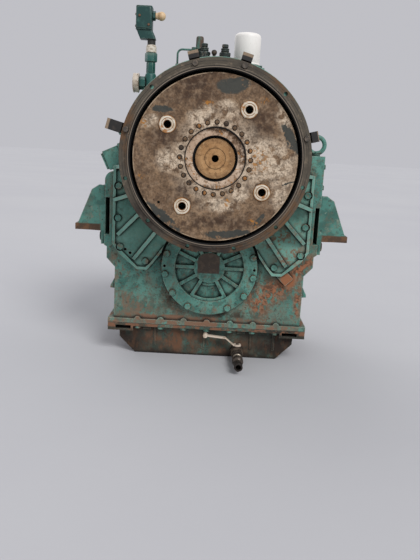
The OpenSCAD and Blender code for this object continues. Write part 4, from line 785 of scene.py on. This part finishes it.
low, high = np.array(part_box("valve_fittings")) / MM
fitting_y = (low + high)[Y] / 2
union_places = [(low[X] + 20, fitting_y, low[Z]), (high[X] - 20, fitting_y, low[Z])]
union = turned([
    (19, 0, 6), (20, 1, 6), (20, 15.5, 6), (17.5, 16.5, 0), (17.5, 18, 0), (20, 19, 6), (20, 26.5, 6),
    (17.5, 28, 0), (10.5, 28, 0), (10.5, 30.4, 0), (12.6, 30.4, 0), (13.5, 31.2, 0), (13.5, 34.4, 0),
    (12, 35, 0), (12, 36.2, 0), (13.5, 36.8, 0), (13.5, 40.2, 0), (12.8, 41, 0), (8.5, 41, 0),
    (8.5, 44, 0), (9.8, 44, 0), (10.5, 44.7, 0), (10.5, 52.2, 0), (9.3, 53.5, 0), (2, 53.5, 0),
])
unions = build("hose_unions", stood(union, union_places, (0, 0, 1)), union_steel)
fit(unions, "casing_group", "valve_metal", "valve_fittings")

plug_brown = finish("brown rusted steel", "#4f4035", 0.65)
clouds(plug_brown, "#2f2a26", 0.6, 6, 0.46, 0.6, detail=8.0)
grain(plug_brown, 2, 0.1)
plug = turned([
    (8, 0, 6), (8, 15, 6), (5, 17, 0), (5, 20, 0), (7, 21.2, 0), (8.5, 23.5, 0), (9, 27, 0),
    (8.6, 30.5, 0), (7, 33.5, 0), (4, 35.5, 0), (1, 36, 0),
], 36)
bleed_plug = build("bleed_plug", stood(plug, (low[X] + 52, fitting_y, low[Z]), (0, 0, 1)), plug_brown)
fit(bleed_plug, "casing_group", "valve_metal", "valve_fittings")

# Breather cap
# A pressed steel cap on a short threaded base, which lets the casing breathe.
# The paint on its right side has gone brown.
breather_enamel = enamel("aged enamel on the breather", 0.6, 0.6)
clouds(breather_enamel, "#54473b", 0.75, 24, 0.4, 0.56, (1, 1, 0.3), 8.0, 0.8)
weather_and_shade(breather_enamel, 0.9, 0.8, radius=1.2)
grain(breather_enamel, 3, 0.15)
low, high = np.array(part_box("breather_cap")) / MM
right_side = between(breather_enamel, X, (low + high)[X] / 2, high[X] + 5, 3)
cap_part = between(breather_enamel, Z, low[Z] + 36, high[Z] + 5, 2)
brown_film = mottle(breather_enamel, 9, 0.3, 0.5, detail=9.0)
lay_over(breather_enamel, both(breather_enamel, right_side, cap_part, brown_film), "#5a463a", 0.75)
cap = turned([
    (12.5, 0, 6), (13.5, 1, 6), (13.5, 29.5, 6), (12, 31, 6), (10, 31.5, 0), (10, 37, 0),
    (12.2, 37.5, 0), (13, 38.6, 0), (13, 43, 0), (12.5, 44, 0), (12.9, 47, 0), (12.2, 73, 0),
    (11.6, 76.5, 0), (10, 78.6, 0), (8, 79, 0), (1, 79, 0),
])
breather = build("breather", stood(cap, [*(low + high)[:2] / 2, low[Z]], (0, 0, 1)), breather_enamel)
fit(breather, "casing_group", "green_paint", "breather_cap")

# Oil filter
# A spin-on filter canister of thin deep-drawn steel, with a rolled seam at its foot and a domed end.
# It is off-white baked enamel with a little dust, and newer than the rest.
filter_paint = finish("white baked enamel", "#f7f3ed", 0.45)
clouds(filter_paint, "#d6d0c6", 0.45, 30, 0.46, 0.75, (1, 1, 0.3), level=0.4)
clouds(filter_paint, "#aca294", 0.6, 5, 0.66, 0.72, detail=8.0, level=0.6)
painted_joint_shade(filter_paint, 8, 0.6)
grain(filter_paint, 20, 0.1)
low, high = np.array(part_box("oil_filter")) / MM
can = turned([
    (41, 0, 0), (44.4, 0.6, 0), (45, 2, 0), (45, 4.6, 0), (44.2, 6, 0), (43.6, 6.4, 0), (43.6, 8, 0),
    (44.2, 9, 0), (44.4, 88, 0), (44, 91.5, 0), (42.8, 95, 0), (40.6, 98, 0), (37.4, 100.4, 0),
    (33, 102, 0), (31, 102.2, 0), (30, 101.8, 0), (28, 102.4, 0), (16, 103.8, 0), (1, 104, 0),
], 72)
filter_can = build("filter_can", stood(can, [*(low + high)[:2] / 2, low[Z]], (0, 0, 1)), filter_paint)
fit(filter_can, "casing_group", "filter_white", "oil_filter")

# Switch column
# A stack of brass and steel pipe fittings that carries the pressure switch, painted over in place.
# Thread tape shows pale above the upper hexagon, and a side port holds the sender.
column_enamel = enamel("enamel on the switch column", 0.35, 0.35)
clouds(column_enamel, "#1a544d", 0.42, 14, 0.12, 0.55, detail=9.0)
low, high = np.array(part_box("switch_column")) / MM
tape = between(column_enamel, Z, low[Z] + 113.5, low[Z] + 137.5, 0.4)
weather_and_shade(column_enamel, 0.9, 0.85, radius=1.5)
lay_over(column_enamel, between(column_enamel, Z, low[Z] + 137.5, low[Z] + 170, 0.4), "#2b2a25", 0.5)
lay_over(column_enamel, tape, "#ddd3c3", 0.6)
creases = mottle(column_enamel, 5, 0.5, 0.62, (1, 1, 3))
lay_over(column_enamel, both(column_enamel, tape, creases), "#a59580", 0.7)
grain(column_enamel, 3, 0.15)
column_x, column_y = high[X] - 20, (low + high)[Y] / 2
stack = turned([
    (18, 0, 0), (18, 44, 0), (17, 47, 0), (14.6, 51, 0), (14, 52, 6), (14.6, 53, 6), (14.6, 82, 6),
    (13.6, 84, 0), (13.6, 86, 0), (18.4, 86, 6), (20, 87.6, 6), (20, 111, 6), (18.4, 113, 6),
    (12, 113, 0), (12, 114, 0), (15.8, 114, 0), (17, 115.4, 0), (16.6, 119, 0), (17, 122, 0),
    (16.4, 126, 0), (16.8, 130, 0), (15.2, 137, 0), (13, 137, 0), (13, 154, 0),
])
column = build("column_stack", stood(stack, (column_x, column_y, low[Z]), (0, 0, 1)), column_enamel)
fit(column, "casing_group", "green_paint", "switch_column")
port_place = (column_x - 16, column_y, low[Z] + 19.5)
port = turned([(12, -4, 0), (12, 0, 0), (20, 0, 6), (21, 1, 6), (21, 18.6, 6), (19.6, 20, 6), (4, 20, 0)])
side_port = build("column_port", stood(port[:, ::-1] * (1, -1, 1), port_place, (-1, 0, 0)), column_enamel)
fit(side_port, "casing_group", "green_paint", "switch_column")


# Pressure switch
# A die-cast box on a sloping foot. Two screws hold its flat front lid, and two more are in its left side.
# Its paint is fresher than the casing's, and rust shows along the edge of the lid and on the screws.
def slab(rows, around=64, power=9):
    """Rings about +Z, one for each row of middle x, half width, half depth and height: a box with round
    corners, whose points meet |x / half width|^power + |y / half depth|^power = 1."""
    middle, wide, deep, height = np.array(rows, float).T[:, :, None]
    angle = np.linspace(0, 2 * np.pi, around, endpoint=False)
    x = np.sign(np.cos(angle)) * np.abs(np.cos(angle)) ** (2 / power)
    y = np.sign(np.sin(angle)) * np.abs(np.sin(angle)) ** (2 / power)
    return np.stack([middle + wide * x, deep * y + 0 * height, height + 0 * angle], -1)


switch_enamel = enamel("enamel on the pressure switch", 0.3, 0.25)
clouds(switch_enamel, "#123f3b", 0.42, 14, 0.1, 0.5, detail=9.0)
weather_and_shade(switch_enamel, 0.85, 0.9, "#77563f", 1.6)
grain(switch_enamel, 3, 0.12)
low, high = np.array(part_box("pressure_switch")) / MM
switch_x, switch_y, switch_z = low[X] + 26, (low + high)[Y] / 2, low[Z] + 27
case = slab([
    (12, 24, 17, -27), (13, 25, 19, -26), (8, 26, 19, -14), (2, 25, 19, -1), (0, 24, 21, -1),
    (0, 26, 23, 1), (0, 26, 23, 69), (0, 24.6, 21.6, 71),
])
switch_case = build("switch_case", stood(case, (switch_x, switch_y, switch_z), (0, 0, 1)), switch_enamel)
fit(switch_case, "casing_group", "green_paint", "pressure_switch")
lid = slab([
    (0, 22.6, 31, -1), (0, 22.6, 31, 0.2), (0, 23.4, 32, 0.2), (0, 23.4, 32, 2), (0, 22.6, 31.2, 2.6),
])
lid_place = (switch_x, switch_y - 23, switch_z + 36)
switch_lid = build("switch_lid", stood(lid, lid_place, (0, -1, 0)), switch_enamel)
fit(switch_lid, "casing_group", "green_paint")

screw_rust = finish("rusty screw steel", "#5e4535", 0.75)
clouds(screw_rust, "#7e5a40", 0.8, 5, 0.45, 0.6, detail=8.0)
grain(screw_rust, 2, 0.1)
screw = turned([(2, -3, 0), (2, 0, 0), (4, 0, 0), (4, 1.4, 0), (3.4, 2.4, 0), (1, 2.9, 0)], 24)
front_screws = np.array(lid_place) + [(-13.5, -2.6, 4), (16, -2.6, -22)]
side_screws = np.array(lid_place) + [(-26, 14, 10), (-26, 14, -25)]
screws = np.concatenate([stood(screw, front_screws, (0, -1, 0)), stood(screw, side_screws, (-1, 0, 0))])
lid_screws = build("switch_lid_screws", screws, screw_rust)
fit(lid_screws, "casing_group", "green_paint")

# Cable gland
# A moulded nylon gland with a round end, screwed into the switch by a painted hexagon.
# The nylon has yellowed.
gland_nylon = finish("yellowed nylon", "#dcbd94", 0.5)
clouds(gland_nylon, "#bf9a70", 0.6, 8, 0.48, 0.66, detail=8.0)
low, high = np.array(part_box("cable_gland")) / MM
lay_over(gland_nylon, between(gland_nylon, X, low[X] - 5, low[X] + 9.5, 0.4), "#24504b", 0.45)
painted_joint_shade(gland_nylon, 5, 0.9)
grain(gland_nylon, 3, 0.1)
gland = turned([
    (13, 0, 6), (15, 1.2, 6), (15, 8.4, 6), (13, 9.6, 6), (9.5, 9.6, 0), (9.5, 15, 0), (11, 15.6, 0),
    (11, 18.6, 0), (10, 19.4, 0), (11.6, 20.6, 0), (13.2, 23, 0), (13.8, 26.6, 0), (13.4, 31, 0),
    (11.6, 35.4, 0), (8.4, 38.8, 0), (4.6, 40.6, 0), (1, 41, 0),
])
cable_gland = build("gland", stood(gland, [low[X], *(low + high)[1:] / 2], (1, 0, 0)), gland_nylon)
fit(cable_gland, "casing_group", "gland_plastic", "cable_gland")

# Pressure sender
# A flat zinc-plated drum with a rolled rim, which sends the oil pressure to a gauge.
# Dust has settled on its plating.
sender_zinc = finish("dull zinc plate", "#cdc0b0", 0.5, 0.1)
clouds(sender_zinc, "#9f8b77", 0.6, 16, 0.46, 0.64, detail=8.0)
clouds(sender_zinc, "#6d5a4a", 0.7, 5, 0.6, 0.7, detail=8.0)
painted_joint_shade(sender_zinc, 5, 0.9)
grain(sender_zinc, 3, 0.1)
low, high = np.array(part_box("pressure_sender")) / MM
drum = turned([
    (20, 0, 0), (28, 0, 0), (30.6, 1, 0), (31, 2.2, 0), (30.6, 3.6, 0), (29.6, 4.4, 0), (29.8, 14, 0),
    (30.8, 15, 0), (31, 16.4, 0), (30.4, 17.8, 0), (28.6, 18.6, 0), (26, 18.6, 0), (24, 20, 0),
    (8, 20, 0), (7, 19.2, 0), (1, 19.2, 0),
])
sender = build("sender_drum", stood(drum, [high[X], *(low + high)[1:] / 2], (-1, 0, 0)), sender_zinc)
fit(sender, "casing_group", "sender_zinc", "pressure_sender")

# Lifting eye and side covers
# A forged eye bolt on the right shoulder, a valve box on the left one and a flat cover on the right side.
# All were painted together with the casing.
side_enamel = enamel("aged enamel on side fittings", 0.45, 0.4)
weather_and_shade(side_enamel, 0.9, 0.75, radius=2)
grain(side_enamel, 4, 0.25, rounded=1.5)
coat(side_enamel, "lifting_eye", "left_valve_box", "right_side_cover")

# Oil pump and rear covers
# Iron castings on the back: the oil pump, the cover of the reverse shaft and the output seal carrier.
# Their screws are painted over with them.
rear_enamel = enamel("aged enamel on the rear covers", 0.5, 0.45)
weather_and_shade(rear_enamel, 0.9, 0.8, radius=2.5)
grain(rear_enamel, 4, 0.3, rounded=2)
coat(rear_enamel, "oil_pump", "reverse_shaft_covers", "output_seal_carrier", "cover_screws")

# Output flange and nut
# A turned steel flange on the output shaft for the propeller shaft, held by one large nut.
# Both are bare and brown with thin rust, and the seal carrier behind the drive plate has the same finish.
flange_steel = finish("bare rusted flange iron", "#6b5f53", 0.55, 0.3)
clouds(flange_steel, "#77593f", 0.7, 25, 0.45, 0.62, detail=8.0)
clouds(flange_steel, "#453a31", 0.7, 6, 0.54, 0.66, detail=8.0, level=0.7)
painted_joint_shade(flange_steel, 8, 0.9)
grain(flange_steel, 4, 0.15, rounded=1.5)
coat(flange_steel, "output_flange", "output_shaft_nut", "input_seal_carrier")

# Drain valve and hose coupling
# A plated steel ball valve low on the front of the sump, with a quick hose coupling on it.
# The plating is tarnished, with bright rings where the sleeve of the coupling slides.
valve_steel = finish("tarnished plated steel", "#75685b", 0.42, 0.5)
clouds(valve_steel, "#4b3f35", 0.55, 8, 0.46, 0.6, detail=8.0)
clouds(valve_steel, "#8d6a4c", 0.7, 5, 0.6, 0.68, detail=8.0)
painted_joint_shade(valve_steel, 6, 0.9)
grain(valve_steel, 3, 0.1, rounded=1)
coat(valve_steel, "drain_valve")

coupling_steel = finish("worn coupling steel", "#544a42", 0.4, 0.5)
low, high = np.array(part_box("drain_hose_coupling")) / MM
clouds(coupling_steel, "#332c27", 0.5, 6, 0.48, 0.62, detail=8.0)
lay_over(coupling_steel, between(coupling_steel, Y, low[Y] + 72, low[Y] + 90, 0.5), "#a89c8d", 0.35)
lay_over(coupling_steel, between(coupling_steel, Y, low[Y] - 2, low[Y] + 24, 0.5), "#332d2a", 0.45)
painted_joint_shade(coupling_steel, 6, 0.9)
grain(coupling_steel, 3, 0.08)
coupling = turned([
    (9, 0, 0), (19, 0, 6), (19, 16.5, 6), (17, 18, 0), (14, 18, 0), (14, 32, 0), (15.5, 33, 0),
    (15.5, 37, 0), (14, 38, 0), (14, 47, 0), (17.4, 50, 0), (18, 51.5, 0), (18, 58, 0), (17, 59, 0),
    (17, 62, 0), (18, 63, 0), (18, 71, 0), (17, 73, 0), (11, 77, 0), (11, 95, 0), (14, 99, 0),
    (14, 104, 0), (13.2, 105, 0), (13.2, 108, 0), (14, 109, 0), (14, 121.8, 0), (12.8, 123, 0),
    (9, 123, 0),
])
mouth = [(low + high)[X] / 2, high[Y], (low + high)[Z] / 2]
hose_coupling = build("hose_coupling", stood(coupling, mouth, (0, -1, 0)), coupling_steel, loop=True)
fit(hose_coupling, "casing_group", "valve_metal", "drain_hose_coupling")

# Drain lever
# A pressed steel lever with a bent arm on the stem of the drain valve.
# Its plating is pale and dusty.
lever_plate = finish("pale plated steel", "#dccbb8", 0.45, 0.1)
clouds(lever_plate, "#b09a84", 0.55, 12, 0.48, 0.66, detail=8.0)
painted_joint_shade(lever_plate, 5, 0.8)
grain(lever_plate, 4, 0.08, rounded=1)
coat(lever_plate, "drain_lever")
